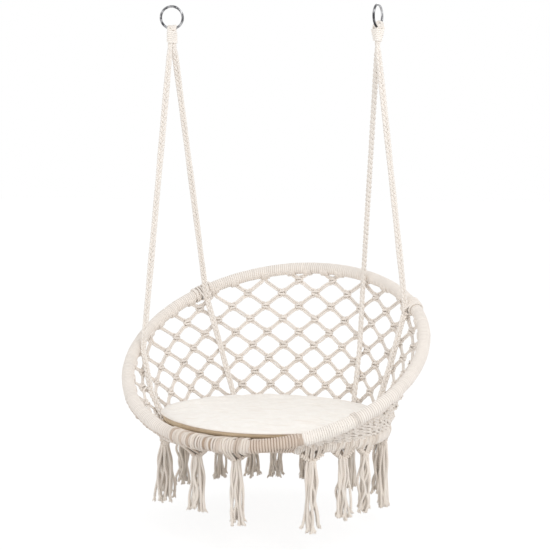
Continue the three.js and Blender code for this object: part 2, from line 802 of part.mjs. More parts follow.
// The cushion lies on the seat net, inside the hoop, and bulges over it between the ropes.
function cushionGeometry() {
  const sides = 72;
  const bottom = seatNetThickness / 2 + clearance;
  const top = bottom + cushionThickness;
  const edge = bottom + cushionEdgeRise;
  const bottomRadius = lowerHoopRadius - cushionBottomInset;
  const edgeRadius = lowerHoopRadius + cushionEdgeOverhang;
  const overHoop = wrapRadius + 2 * clearance;
  const profile = [
    [bottomRadius * 0.5, bottom],
    [bottomRadius * 0.97, bottom],
    [bottomRadius, bottom + 0.12 * cushionThickness],
    [bottomRadius + 0.2 * (edgeRadius - bottomRadius), overHoop],
    [edgeRadius, Math.max(edge, overHoop)],
    [edgeRadius * 0.985, bottom + 0.78 * cushionThickness],
    [edgeRadius * 0.93, bottom + 0.93 * cushionThickness],
    [edgeRadius * 0.6, top],
    [edgeRadius * 0.3, top - 0.03 * cushionThickness],
  ];
  const dentReach = degrees(cushionDentAngle);
  const dentFloor = fullTurn / sides + ropeRadius / bottomRadius;
  const tails = [leftRope, rightRope].flatMap((rope) => [
    ropeTail(degrees(rope.sideTop), degrees(rope.sideFoot)),
    ropeTail(degrees(rope.backTop), degrees(rope.backFoot)),
  ]).map((tail) => tail.map(seenFromLowerHoop));
  // The basket's inner surface, or a rope's tail on it, at an angle and a height over the hoop.
  function basketReach(angle, height) {
    const low = seenFromLowerHoop(lowerHoopPoint(angle));
    const high = seenFromLowerHoop(upperHoopPoint(upperAngleFacing(angle)));
    const place = low.lerp(high, height / high.z);
    const open = Math.hypot(place.x, place.y) - netKnotThickness / 2 - cushionNetPlay;
    const reaches = tails.map(([foot, middle]) => {
      const tail = foot.clone().lerp(middle, (height - foot.z) / (middle.z - foot.z));
      const turn = angle - Math.atan2(tail.y, tail.x);
      const beside = Math.abs(Math.atan2(Math.sin(turn), Math.cos(turn))) - dentFloor;
      const away = THREE.MathUtils.clamp(beside, 0, dentReach);
      const dent = 0.5 + 0.5 * Math.cos((Math.PI * away) / dentReach);
      return THREE.MathUtils.lerp(open, Math.hypot(tail.x, tail.y) - ropeRadius - cushionRopePlay, dent);
    });
    return Math.min(open, ...reaches);
  }
  const rings = profile.map(([radius, height]) => Array.from({ length: sides }, (_, i) => {
    const angle = (i / sides) * fullTurn;
    const reach = Math.min(radius, basketReach(angle, height));
    return new THREE.Vector3(reach * Math.cos(angle), reach * Math.sin(angle), height);
  }));
  return closedLoft(rings, new THREE.Vector3(0, 0, bottom), new THREE.Vector3(0, 0, top - 0.05 * cushionThickness));
}

addPiece(lowerHoopGroup, "seat_cushion", cushionGeometry(), cushionCloth);

// A tassel gathers cords from a stretch of the hoop into a neck, and they hang free below it.
function tasselGeometry(length) {
  const sides = 10;
  const grooveShare = 0.86;
  const sections = [
    [0, tasselTopWidth, tasselTopThickness],
    [0.45 * tasselGatherDrop, 0.72 * tasselTopWidth, 1.15 * tasselTopThickness],
    [tasselGatherDrop, tasselNeckWidth, tasselNeckThickness],
    [tasselGatherDrop + 0.3 * (length - tasselGatherDrop), 1.15 * tasselNeckWidth, 1.15 * tasselNeckThickness],
    [length, tasselFootWidth, tasselFootThickness],
  ];
  const rings = sections.map(([drop, width, thickness]) => Array.from({ length: sides }, (_, i) => {
    const angle = (-i / sides) * fullTurn;
    const share = i % 2 === 0 ? 0.5 : 0.5 * grooveShare;
    return new THREE.Vector3(share * thickness * Math.cos(angle), share * width * Math.sin(angle), -drop);
  }));
  return closedLoft(rings, new THREE.Vector3(), new THREE.Vector3(0, 0, -length));
}

tasselPlaceShares.forEach((place, i) => {
  const number = String(i + 1).padStart(2, "0");
  const geometry = tasselGeometry(tasselLength * tasselLengthShares[i]);
  const tassel = addPiece(chair, `tassel_${number}`, geometry, knottedCotton);
  const angle = place * fullTurn;
  const slope = Math.abs(Math.cos(angle) * Math.sin(degrees(lowerHoopTilt)));
  const drop = wrapRadius + clearance + (slope * tasselTopWidth) / 2;
  tassel.position.copy(lowerHoopPoint(angle));
  tassel.position.z -= drop;
  tassel.rotation.z = angle;
});

export default chair;
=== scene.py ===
import math

import bpy
import numpy as np
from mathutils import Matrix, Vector, noise
from mathutils.bvhtree import BVHTree


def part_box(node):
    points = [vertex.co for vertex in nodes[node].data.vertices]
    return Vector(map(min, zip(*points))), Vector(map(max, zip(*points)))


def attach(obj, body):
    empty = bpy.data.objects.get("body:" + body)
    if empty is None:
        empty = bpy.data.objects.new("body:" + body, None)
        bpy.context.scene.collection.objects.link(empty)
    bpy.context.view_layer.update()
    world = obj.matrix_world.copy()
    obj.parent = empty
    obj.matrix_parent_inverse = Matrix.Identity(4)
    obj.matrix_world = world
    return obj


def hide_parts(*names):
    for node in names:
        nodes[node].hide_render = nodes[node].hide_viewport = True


# The looks of a round macrame hammock chair. Lengths are in millimetres and become metres in the meshes.
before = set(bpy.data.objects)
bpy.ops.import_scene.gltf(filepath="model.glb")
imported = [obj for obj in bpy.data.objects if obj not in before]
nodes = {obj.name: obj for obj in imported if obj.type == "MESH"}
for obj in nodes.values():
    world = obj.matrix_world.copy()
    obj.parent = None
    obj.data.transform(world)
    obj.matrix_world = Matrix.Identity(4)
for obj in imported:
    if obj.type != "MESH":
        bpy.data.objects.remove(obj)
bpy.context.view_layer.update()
scene = bpy.context.scene

MM = 0.001
TURN = 2 * math.pi
TINY = 1e-12
rng = np.random.default_rng(20)

# Camera: at the photograph's angle, whose frame is square.
CAMERA_YAW = math.radians(6.8)
CAMERA_PITCH = math.radians(9.6)
CAMERA_DISTANCE = 3.5
FRAME_PIXELS = 550
FOCAL_PIXELS = 1363.3
SHIFT_PIXELS = (0.5, 74.8)
SENSOR_WIDTH = 36

# Hoops.
UPPER_RADIUS = 384.0
LOWER_RADIUS = 284.0
WRAP_RADIUS = 16.0
UPPER_CENTRE = np.array([0.0, 11.5, -856.0])
UPPER_TILT = math.radians(26.3)
UPPER_LEAN = math.radians(-7.25)
LOWER_TILT = math.radians(-3.4)
CLOSE_HOOPS = 48

# Hoop wraps: a rib for each cord, and the stretches, in degrees, where other cord work covers them.
WRAP_PITCH = 5.9
RIB_HEIGHT = 1.15
RIB_FULLNESS = 1.17
COVERED = [(243.2, 251.8), (264.6, 301.8)]
COVERED_DROP = 1.9

# Rings and ropes: where each rope's legs turn below its ring, and its angles on both hoops.
RING_SPAN = 510.0
RING_RADIUS = 27.0
RING_WIRE = 3.0
RING_HEIGHT = -24.0
WELD_ANGLE = math.radians(68)
SIDES = {
    "left": {"sign": -1, "ring_turn": 12, "start": 102, "end": 30, "tops": (170, 125), "feet": (190, 118)},
    "right": {"sign": 1, "ring_turn": 70, "start": 160, "end": 97, "tops": (19.5, 50.5), "feet": (22, 45)},
}
EYE_HEIGHT = -51.3
BIGHT_RADIUS = 7.7
WHIPPING_TOP = -58.0
WHIPPING_BOTTOM = -92.6
LEG_SPLIT_HEIGHT = -97.2
LEG_OFFSET = 5.4
ROPE_INSET = 13.9
ROPE_SEAT = 23.3
PLAIT_PITCH = 41.0
WHIPPING_PITCH = 4.6
WHIPPING_TURNS = 6

# Winding at the front. Angles are in degrees.
WINDING_PITCH = 5.5
WINDING_CORD = 2.55
BINDING_ANGLE = 277
BINDING_SPREAD = 21
BOUND_REACH = 11.5

# Net.
HALF_COLUMNS = 48
HALF_COLUMN = TURN / HALF_COLUMNS
ROW_HEIGHT = 0.0946 * UPPER_RADIUS
CORD = 2.6
CORD_SIDES = 10
PLY_PITCH = 9.0
PLY_DEPTH = 0.13
PAIR_OFFSET = 2.65
KNOT_REACH = 15.0
KNOT_CORD = 3.0
FIRST_HALF_COLUMN = -10
PANELS = 10
SEAT_CELL = 74.0
STRAND_STEPS = [(1, 1), (-1, 1), (-1, -1), (1, -1)]

# The two outer cords of a square knot: x across it, y up and z outward.
OVER = [(-6.6, 5.2, 2.0), (-3.6, 3.2, 3.9), (0, 2.5, 4.5), (4.6, 2.3, 3.5), (7.3, 0.2, 0.2),
        (4.6, -2.1, 3.4), (0, -2.6, 4.5), (-3.6, -3.5, 3.8), (-6.6, -5.4, 2.0)]
UNDER = [(6.4, 5.2, 1.2), (4.6, 3.7, -2.5), (0, 2.9, -4.4), (-4.6, 2.3, -3.3), (-7.4, 0, 0),
         (-4.6, -2.3, -3.3), (0, -2.9, -4.4), (4.6, -3.7, -2.5), (6.4, -5.3, 1.2)]
LARKS_HEAD_BAR = [(-4.2, -0.6), (-3.4, 1.9), (0, 3.2), (3.4, 1.9), (4.2, -0.6)]

# Cushion: its seam's height over the lower hoop's plane.
SEAM_HEIGHT = 34.0
CUSHION_RADIUS = 290.0
TIP_ANGLE = math.radians(189)
TIP_LIFT = 7.0
FRONT_DROOP = 5.0
EDGE_POWER = 2.4
RIM_SECTORS = 90
PIPING_RADIUS = 1.9
THREAD_PITCH = 1.6

# Folds in the cushion's cover, in its own plane: both ends, half width and depth.
FOLDS = [
    ((-284, -34), (-60, 30), 8, 4.6),
    ((-276, -62), (-100, -50), 7, 4.0),
    ((-264, 8), (-110, 84), 8, 3.4),
    ((-254, -100), (-130, -124), 7, 3.2),
    ((158, -170), (30, -120), 9, 5.0),
    ((150, -206), (20, -186), 8, 4.6),
    ((140, -232), (40, -238), 7, 3.8),
    ((262, -70), (120, -80), 9, 3.6),
    ((-80, 140), (150, 96), 12, 3.0),
    ((-60, -40), (170, -20), 12, 3.2),
]

# Tassels: each one's place round the lower hoop, length and spread, as shares.
TASSELS = [
    (0, 1.06, 1.1), (0.057, 1, 1), (0.136, 1.08, 1), (0.216, 1.05, 1.1), (0.266, 1, 1),
    (0.302, 0.99, 1), (0.355, 0.97, 1), (0.432, 0.98, 1.1), (0.5, 0.96, 1), (0.5625, 0.94, 1.6),
    (0.656, 0.93, 1.25), (0.718, 1.02, 1), (0.821, 1.12, 1.05), (0.87, 1.01, 0.95), (0.914, 0.96, 0.9),
]
TASSEL_LENGTH = 180.0
TASSEL_CORD = 3.0
TASSEL_HALF_WIDTH = 29.0
TASSEL_GATHER = 42.0
GATHER_RISE = 20.0


def add_object(name, data):
    added = bpy.data.objects.new(name, data)
    scene.collection.objects.link(added)
    return added


def aim(aimed, place, toward):
    """Stands a camera or lamp at a place, looking along a direction."""
    aimed.location = place
    aimed.rotation_mode = "QUATERNION"
    aimed.rotation_quaternion = toward.to_track_quat("-Z", "Y")


def make_camera():
    level = math.cos(CAMERA_PITCH)
    back = Vector((math.sin(CAMERA_YAW) * level, -math.cos(CAMERA_YAW) * level, math.sin(CAMERA_PITCH)))
    data = bpy.data.cameras.new("camera")
    data.sensor_width = SENSOR_WIDTH
    data.lens = FOCAL_PIXELS / FRAME_PIXELS * SENSOR_WIDTH
    data.shift_x = SHIFT_PIXELS[0] / FRAME_PIXELS
    data.shift_y = SHIFT_PIXELS[1] / FRAME_PIXELS
    scene.camera = add_object("camera", data)
    aim(scene.camera, Vector(UPPER_CENTRE) * MM + back * CAMERA_DISTANCE, -back)


make_camera()


# Small vector helpers.
def unit(v):
    return v / np.maximum(np.linalg.norm(v, axis=-1, keepdims=True), TINY)


def dot(a, b):
    return np.sum(a * b, axis=-1, keepdims=True)


def apart(first, second):
    """The angle between two directions that are given as angles."""
    return np.abs(np.angle(np.exp(1j * (first - second))))


def ramp(value, start, end):
    """0 up to start, 1 from end on, and even between them."""
    return np.clip((value - start) / (end - start), 0, 1)


def rotation(angle, axis):
    """The matrix of a turn about X, Y or Z, for axis 0, 1 or 2."""
    first, second = (axis + 1) % 3, (axis + 2) % 3
    matrix = np.eye(3)
    matrix[first, first] = matrix[second, second] = math.cos(angle)
    matrix[second, first] = math.sin(angle)
    matrix[first, second] = -math.sin(angle)
    return matrix


class Hoop:
    """A hoop's centreline, and places and directions seen from it."""

    def __init__(self, radius, centre, turn):
        self.radius = radius
        self.centre = centre
        self.turn = turn
        self.axis = turn[:, 2]

    def placed(self, local):
        return local @ self.turn.T + self.centre

    def seen(self, points):
        return (points - self.centre) @ self.turn

    def point(self, angle, outward=0.0):
        angle = np.asarray(angle, float)
        reach = self.radius + outward
        return self.placed(np.stack([reach * np.cos(angle), reach * np.sin(angle), 0 * angle], -1))

    def angle_of(self, point):
        local = self.seen(point)
        return math.atan2(local[1], local[0])

    def distance(self, points):
        """Distance from the hoop's centreline."""
        local = self.seen(points)
        return np.hypot(np.hypot(local[..., 0], local[..., 1]) - self.radius, local[..., 2])

    def cross_section(self, angle):
        """The hoop's middle at an angle, and the two directions of its section there."""
        middle = self.point(angle)
        return middle, unit(self.point(angle, 1.0) - middle), self.axis


rod_low, rod_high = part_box("lower_hoop_rod")
UPPER = Hoop(UPPER_RADIUS, UPPER_CENTRE, rotation(UPPER_LEAN, 1) @ rotation(UPPER_TILT, 0))
LOWER = Hoop(LOWER_RADIUS, np.array((rod_low + rod_high) / 2) / MM, rotation(LOWER_TILT, 0))


def upper_angle_facing(lower_angle):
    """The angle of the upper hoop's point that lies in the lower hoop's section at lower_angle."""
    angle = lower_angle
    for _ in range(20):
        off = lower_angle - LOWER.angle_of(UPPER.point(angle))
        angle += math.atan2(math.sin(off), math.cos(off))
    return angle


def net_height(angle):
    return np.linalg.norm(UPPER.point(angle) - LOWER.point(angle), axis=-1)


def net_point(angle, rise):
    low, high = LOWER.point(angle), UPPER.point(angle)
    return low + (high - low) * (np.asarray(rise, float) / net_height(angle))[..., None]


def net_frame(angle, rise):
    """A place on the net, and its directions up, across and outward there."""
    up = unit(UPPER.point(angle) - LOWER.point(angle))
    around = unit(net_point(np.asarray(angle) + 0.01, rise) - net_point(np.asarray(angle) - 0.01, rise))
    outward = unit(np.cross(around, up))
    return net_point(angle, rise), up, unit(np.cross(up, outward)), outward


# Curves.
def lengths_along(paths):
    """How far along its path each point lies, for one path or a stack of them."""
    steps = np.linalg.norm(np.diff(paths, axis=-2), axis=-1)
    return np.concatenate([np.zeros_like(steps[..., :1]), np.cumsum(steps, -1)], -1)


def interpolated(wanted, places, points):
    return np.stack([np.interp(wanted, places, points[:, k]) for k in range(3)], -1)


def resample(points, step):
    places = lengths_along(points)
    count = max(int(round(places[-1] / step)) + 1, 4)
    return interpolated(np.linspace(0, places[-1], count), places, points)


def smooth_curve(points, step=1.4):
    """A Catmull-Rom curve through the points, cut into even steps."""
    p = np.asarray(points, float)
    p = np.vstack([2 * p[0] - p[1], p, 2 * p[-1] - p[-2]])
    t = np.linspace(0, 1, 12, endpoint=False)[:, None]
    spans = [
        0.5 * (2 * b + (c - a) * t + (2 * a - 5 * b + 4 * c - d) * t**2 + (3 * b - a - 3 * c + d) * t**3)
        for a, b, c, d in zip(p[:-3], p[1:-2], p[2:-1], p[3:])
    ]
    return resample(np.vstack(spans + [p[-2:-1]]), step)


def softened(points, spread):
    """Rounds the corners of a polyline with even steps; its ends stay."""
    reach = int(3 * spread) + 1
    weights = np.exp(-0.5 * (np.arange(-reach, reach + 1) / spread) ** 2)
    weights /= weights.sum()
    start = 2 * points[0] - points[1 : reach + 1][::-1]
    end = 2 * points[-1] - points[-reach - 1 : -1][::-1]
    padded = np.vstack([start, points, end])
    return np.stack([np.convolve(padded[:, k], weights, "valid") for k in range(3)], -1)


def frames_of(paths, first=None):
    """Tangents and untwisted normals along a stack of paths."""
    tangents = np.empty_like(paths)
    tangents[:, 1:-1] = paths[:, 2:] - paths[:, :-2]
    tangents[:, 0] = paths[:, 1] - paths[:, 0]
    tangents[:, -1] = paths[:, -1] - paths[:, -2]
    tangents = unit(tangents)
    if first is None:
        upright = np.abs(tangents[:, 0, 2:3]) < 0.9
        first = np.where(upright, [[0.0, 0.0, 1.0]], [[0.0, -1.0, 0.0]])
    normal = unit(first - dot(first, tangents[:, 0]) * tangents[:, 0])
    normals = np.empty_like(paths)
    normals[:, 0] = normal
    for i in range(paths.shape[1] - 1):
        chord = paths[:, i + 1] - paths[:, i]
        size = np.maximum(dot(chord, chord), TINY)
        mirrored = normal - 2 * dot(chord, normal) / size * chord
        leaning = tangents[:, i] - 2 * dot(chord, tangents[:, i]) / size * chord
        rest = tangents[:, i + 1] - leaning
        size = dot(rest, rest)
        turned = mirrored - 2 * dot(rest, mirrored) / np.maximum(size, TINY) * rest
        normal = np.where(size > TINY, turned, mirrored)
        normals[:, i + 1] = normal
    return tangents, normals, np.cross(tangents, normals)


def cord_shades(groove_shade, tint, painted_shade):
    """The colours that tell the cord materials how deep a point lies in a groove, for painted shade there,
    its cord's tint, and its share of beige painted shade.
    """
    return np.stack(np.broadcast_arrays(groove_shade, tint, painted_shade, 1.0), -1)


class Work:
    """Collects tubes and grids, and makes one piece of them."""

    def __init__(self):
        self.tubes = {}
        self.points = []
        self.shades = []
        self.faces = []
        self.caps = []
        self.count = 0
        # How much beige painted shade the cords added next get.
        self.painted_shade = 0.0

    def tube(self, path, radius=CORD, sides=CORD_SIDES, plies=3, pitch=PLY_PITCH, depth=PLY_DEPTH):
        """radius is one number or one for each point of the path."""
        radii = np.broadcast_to(np.asarray(radius, float), (len(path),)).copy()
        radii[[0, -1]] *= 0.6
        key = (len(path), sides, plies, pitch, depth)
        self.tubes.setdefault(key, []).append((path, radii, rng.random(), rng.random() * TURN, self.painted_shade))

    def ring(self, path, radius=CORD, plies=3):
        """A closed tube: the path's last point joins its first."""
        paths = path[None]
        tangents = unit(np.roll(paths, -1, 1) - np.roll(paths, 1, 1))
        normals = paths - paths.mean(1, keepdims=True)
        normals = unit(normals - dot(normals, tangents) * tangents)
        along = lengths_along(paths)
        total = along[:, -1:] + np.linalg.norm(paths[:, 0] - paths[:, -1], axis=-1)[:, None]
        twist = along / total * np.maximum(np.round(total / PLY_PITCH), 1) * TURN
        self.skin(paths, np.full(paths.shape[:2], radius), normals, np.cross(tangents, normals),
                  CORD_SIDES, plies, twist, PLY_DEPTH, rng.random(1), np.array([self.painted_shade]), True)

    def even_ring(self, corners, step=1.8, radius=CORD, plies=3):
        """A closed tube in even steps round a polygon."""
        self.ring(resample(np.vstack([corners, corners[:1]]), step)[:-1], radius, plies)

    def tie(self, section, turns, top, fall, uneven=0.0):
        """A short cord round a hoop's wrap, whose ends go into it."""
        lift = WRAP_RADIUS + top - fall * np.abs(np.linspace(-1, 1, len(turns))) ** 4 + uneven
        self.tube(smooth_curve(arc(section, turns, lift)), CORD)

    def skin(self, paths, radii, normals, binormals, sides, plies, twist, depth, tints, painted_shades, closed):
        """Tubes round a stack of paths. Their plies show as grooves that wind round them; how deep each point
        lies in them is kept for painted shade.
        """
        phi = np.arange(sides) / sides * TURN
        reach = np.repeat(radii[..., None], sides, 2)
        groove_shade = np.zeros(reach.shape)
        if plies:
            wave = np.cos(plies * (phi[None, None] - twist[..., None]))
            reach = radii[..., None] * (1 + depth * wave)
            groove_shade = 0.5 - 0.5 * wave
        points = (
            paths[:, :, None]
            + normals[:, :, None] * (reach * np.cos(phi))[..., None]
            + binormals[:, :, None] * (reach * np.sin(phi))[..., None]
        )
        index = self.count + np.arange(reach.size).reshape(reach.shape)
        if closed:
            near, far = index, np.roll(index, -1, 1)
        else:
            near, far = index[:, :-1], index[:, 1:]
            self.caps += [index[:, 0][:, ::-1], index[:, -1]]
        quads = np.stack([near, np.roll(near, -1, 2), np.roll(far, -1, 2), far], -1)
        self.keep(points, cord_shades(groove_shade, tints[:, None, None], painted_shades[:, None, None]), quads)

    def grid(self, points, shades, shift=0):
        """A grid that closes both ways; shift is how many rows its columns slide by where they meet."""
        index = self.count + np.arange(points[..., 0].size).reshape(points.shape[:2])
        seam = np.roll(index[:, :1], -shift, 0)
        wide = np.hstack([index, seam])
        wide = np.vstack([wide, wide[:1]])
        self.keep(points, shades, np.stack([wide[:-1, :-1], wide[1:, :-1], wide[1:, 1:], wide[:-1, 1:]], -1))

    def keep(self, points, shades, quads):
        self.points.append(points.reshape(-1, 3))
        self.shades.append(shades.reshape(-1, 4))
        self.faces.append(quads.reshape(-1, 4))
        self.count += len(self.points[-1])

    def make(self, name, material, slot, replaced=None, body="chair"):
        """Makes the piece; replaced is the CAD node that it stands for."""
        for (_, sides, plies, pitch, depth), tubes in self.tubes.items():
            paths, radii, tints, phases, painted_shades = (np.array(column) for column in zip(*tubes))
            _, normals, binormals = frames_of(paths)
            twist = lengths_along(paths) / pitch * TURN + phases[:, None]
            self.skin(paths, radii, normals, binormals, sides, plies, twist, depth, tints, painted_shades, False)
        mesh = bpy.data.meshes.new(name)
        points = np.vstack(self.points) * MM
        flats = [np.vstack(self.faces), *self.caps]
        corners = np.concatenate([flat.ravel() for flat in flats])
        totals = np.concatenate([np.full(flat.shape[0], flat.shape[1]) for flat in flats])
        starts = np.concatenate([[0], np.cumsum(totals)[:-1]])
        mesh.vertices.add(len(points))
        mesh.vertices.foreach_set("co", points.ravel())
        mesh.loops.add(len(corners))
        mesh.loops.foreach_set("vertex_index", corners.astype(np.int32))
        mesh.polygons.add(len(totals))
        mesh.polygons.foreach_set("loop_start", starts.astype(np.int32))
        mesh.update(calc_edges=True)
        mesh.validate()
        mesh.polygons.foreach_set("use_smooth", np.ones(len(mesh.polygons), bool))
        colours = mesh.color_attributes.new("cord", "FLOAT_COLOR", "POINT")
        colours.data.foreach_set("color", np.vstack(self.shades).ravel())
        mesh.materials.append(material)
        piece = add_object(name, mesh)
        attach(piece, body)
        if replaced:
            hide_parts(replaced)


# Materials.
class Graph:
    """Builds a node tree. A value is a number, a colour, a vector or another node's output."""

    def __init__(self, owner):
        owner.use_nodes = True
        self.tree = owner.node_tree

    def feed(self, socket, value):
        if isinstance(value, bpy.types.NodeSocket):
            self.tree.links.new(value, socket)
        else:
            socket.default_value = value

    def add(self, kind, inputs, output=0, **settings):
        node = self.tree.nodes.new("ShaderNode" + kind)
        for key, value in settings.items():
            setattr(node, key, value)
        for key, value in inputs.items():
            self.feed(node.inputs[key], value)
        return node.outputs[output]

    def surface(self, inputs):
        """Sets the material's own shader."""
        shader = self.tree.nodes["Principled BSDF"]
        for key, value in inputs.items():
            self.feed(shader.inputs[key], value)
        return shader.outputs[0]

    def noise(self, vector, scale, detail=3.0, roughness=0.55):
        inputs = {"Scale": scale, "Detail": detail, "Roughness": roughness, "Vector": vector}
        return self.add("TexNoise", inputs, "Fac")

    def remap(self, value, low, high, from_low=0.0, from_high=1.0):
        inputs = {"From Min": from_low, "From Max": from_high, "To Min": low, "To Max": high, "Value": value}
        return self.add("MapRange", inputs, "Result")

    def mix(self, share, first, second, blend="MIX"):
        return self.add("Mix", {0: share, 6: first, 7: second}, 2, data_type="RGBA", blend_type=blend)

    def shaded(self, colour, level):
        """A colour times a level of grey."""
        grey = self.add("CombineColor", {0: level, 1: level, 2: level}, "Color")
        return self.mix(1.0, colour, grey, "MULTIPLY")

    def calc(self, operation, first, second):
        return self.add("Math", {0: first, 1: second}, operation=operation)

    def along(self, vector, direction):
        return self.add("VectorMath", {0: vector, 1: direction}, "Value", operation="DOT_PRODUCT")

    def bump(self, height, strength, distance):
        return self.add("Bump", {"Strength": strength, "Distance": distance, "Height": height}, "Normal")


def start_material(name):
    material = bpy.data.materials.new(name)
    graph = Graph(material)
    return material, graph, graph.add("TexCoord", {}, "Object")


def linear(rgb):
    """A screen colour in linear light."""
    shares = [value / 255 for value in rgb]
    return (*(s / 12.92 if s <= 0.04045 else ((s + 0.055) / 1.055) ** 2.4 for s in shares), 1)


def cord_material(name, light, deep, groove_shade):
    """Cotton cord: painted shade in its grooves, beige painted shade as far as each cord carries it, random
    dark specks, and each cord a little different.
    """
    material, graph, place = start_material(name)
    cord = graph.add("Attribute", {}, "Color", attribute_name="cord")
    parts = graph.add("SeparateColor", {"Color": cord}).node.outputs
    red, green, painted_shade_share = (parts[part] for part in ("Red", "Green", "Blue"))
    specks = graph.noise(place, 420, 3, 0.65)
    worn = graph.calc("MULTIPLY", graph.remap(specks, 0, 0.5, 0.45, 0.75), 0.3)
    # The deep colour goes where a point lies deep in a groove, as painted shade, or on a random dark speck,
    # whichever is more.
    depth = graph.calc("MAXIMUM", graph.calc("MULTIPLY", red, groove_shade), worn)
    colour = graph.mix(depth, linear(light), linear(deep))
    # Beige painted shade, as far as each cord's share of it goes.
    colour = graph.mix(painted_shade_share, colour, linear((186, 164, 145)))
    level = graph.calc("ADD", graph.calc("MULTIPLY", green, 0.5),
                       graph.calc("MULTIPLY", graph.noise(place, 22, 3), 0.5))
    graph.surface({
        "Base Color": graph.shaded(colour, graph.remap(level, 0.9, 1.04)),
        "Roughness": graph.remap(specks, 0.84, 0.98),
        "Normal": graph.bump(graph.noise(place, 1500, 2, 0.7), 0.35, 0.0006),
        "Specular IOR Level": 0.2,
        "Sheen Weight": 0.15,
        "Sheen Roughness": 0.6,
    })
    return material


def cushion_material():
    """Canvas: a plain weave, off-white above the seam and beige below it. The two tones are partly the
    panels' own and partly painted light: a lit top and a shaded side that faces down.
    """
    material, graph, place = start_material("cushion_canvas")
    seam = (LOWER.centre @ LOWER.axis + SEAM_HEIGHT) * MM
    tip = LOWER.turn @ np.array([math.cos(TIP_ANGLE), math.sin(TIP_ANGLE), 0])
    lift = 0.0
    for end, amount in ((tip, TIP_LIFT), (-LOWER.turn[:, 1], -FRONT_DROOP)):
        middle = LOWER.centre @ end
        reach = graph.remap(graph.along(place, end), 0, 1, middle * MM, (middle + CUSHION_RADIUS) * MM)
        own = graph.calc("MULTIPLY", graph.calc("POWER", reach, EDGE_POWER), amount * MM)
        lift = graph.calc("ADD", own, lift)
    level = graph.calc("SUBTRACT", graph.along(place, LOWER.axis), lift)
    above = graph.remap(level, 0, 1, seam - 0.0012, seam + 0.0012)
    # Stretched dark streaks: painted shade of wrinkles, laid by noise and not on the modelled creases. The
    # finer noise is the canvas's uneven tone.
    stretched = graph.add("VectorMath", {0: place, 1: (12, 55, 20)}, operation="MULTIPLY")
    wrinkle_shade_streaks = graph.remap(graph.noise(stretched, 1, 3, 0.6), 0, 1, 0.42, 0.7)
    slubs_and_wrinkle_shade = graph.calc("MAXIMUM", graph.noise(place, 60, 4, 0.6), wrinkle_shade_streaks)
    # The top colour is partly painted light and the side colour partly painted shade; the rest is the two
    # panels' own tones.
    top = graph.mix(slubs_and_wrinkle_shade, linear((255, 253, 249)), linear((244, 237, 229)))
    side = graph.mix(slubs_and_wrinkle_shade, linear((236, 219, 192)), linear((220, 200, 170)))
    axes = graph.add("SeparateXYZ", {0: place}).node.outputs
    across, along = (
        graph.calc("SINE", graph.calc("MULTIPLY", axes[axis], TURN / (THREAD_PITCH * MM)), 0.0)
        for axis in ("X", "Y")
    )
    fuzz = graph.noise(place, 700, 2, 0.6)
    weave = graph.calc("ADD", graph.calc("MULTIPLY", graph.calc("MULTIPLY", across, along), 0.5), fuzz)
    graph.surface({
        # The weave's low points are a little darker: painted shade between the threads, with the fuzz noise
        # as uneven tone.
        "Base Color": graph.shaded(graph.mix(above, side, top), graph.remap(weave, 0.965, 1.0, -0.3, 1.2)),
        "Roughness": graph.remap(fuzz, 0.82, 0.95),
        "Normal": graph.bump(weave, 0.35, 0.0004),
        "Specular IOR Level": 0.2,
        "Sheen Weight": 0.1,
        "Sheen Roughness": 0.5,
    })
    return material


def steel_material(name, light, deep, roughness, scratch, patch_scale):
    material, graph, place = start_material(name)
    # On the ring the strong dark and light patches are painted reflections; on the rods the mild patches are
    # uneven tone.
    reflection_and_tone_patches = graph.remap(graph.noise(place, patch_scale, 4), 0, 1, 0.36, 0.6)
    lines = graph.noise(place, 900, 3, 0.7)
    graph.surface({
        "Base Color": graph.mix(reflection_and_tone_patches, linear(light), linear(deep)),
        "Roughness": graph.remap(lines, roughness - 0.06, roughness + 0.08),
        "Normal": graph.bump(lines, scratch, 0.0002),
        "Metallic": 1.0,
    })
    return material


# Cord colours: the light colour, the deep colour of painted shade in grooves and of specks, and how much of
# it the deepest groove gets.
WRAP = cord_material("hoop_wrap_cotton", (251, 245, 238), (196, 179, 164), 0.8)
NET = cord_material("net_cotton", (255, 249, 242), (208, 192, 178), 0.55)
SEAT = cord_material("seat_net_cotton", (244, 234, 224), (200, 185, 171), 0.6)
BINDING = cord_material("binding_cotton", (249, 235, 221), (156, 134, 117), 0.85)
ROPE = cord_material("rope_cotton", (255, 250, 244), (214, 200, 187), 0.5)
WHIPPING = cord_material("whipping_cotton", (255, 249, 242), (214, 200, 188), 0.6)
TASSEL = cord_material("tassel_cotton", (255, 250, 242), (214, 195, 179), 0.7)
CANVAS = cushion_material()
# The ring's dark and light colours are painted reflections; the rods' colours are tone.
RING_STEEL = steel_material("ring_steel", (206, 206, 208), (66, 66, 69), 0.18, 0.1, 55)
ROD_STEEL = steel_material("rod_steel", (136, 138, 140), (98, 99, 101), 0.5, 0.3, 90)


# Rings: bent round wire with a ground weld at the top.
def add_ring(side):
    way = SIDES[side]
    segments, sides = 120, 20
    u = np.arange(segments) / segments * TURN
    v = np.arange(sides) / sides * TURN
    wire = RING_WIRE + 0.35 * np.exp(-((apart(u, WELD_ANGLE) * RING_RADIUS / 2.2) ** 2))
    reach = RING_RADIUS + wire[:, None] * np.cos(v)
    points = [reach * np.cos(u)[:, None], wire[:, None] * np.sin(v) + 0 * reach, reach * np.sin(u)[:, None]]
    turn = rotation(math.radians(way["ring_turn"]), 2)
    work = Work()
    work.grid(np.stack(points, -1) @ turn.T + np.array([way["sign"] * RING_SPAN / 2, 0, RING_HEIGHT]),
              np.ones((segments, sides, 4)))
    work.make(f"ring_{side}_steel", RING_STEEL, "ring_steel", f"ring_{side}", "hung_rings")


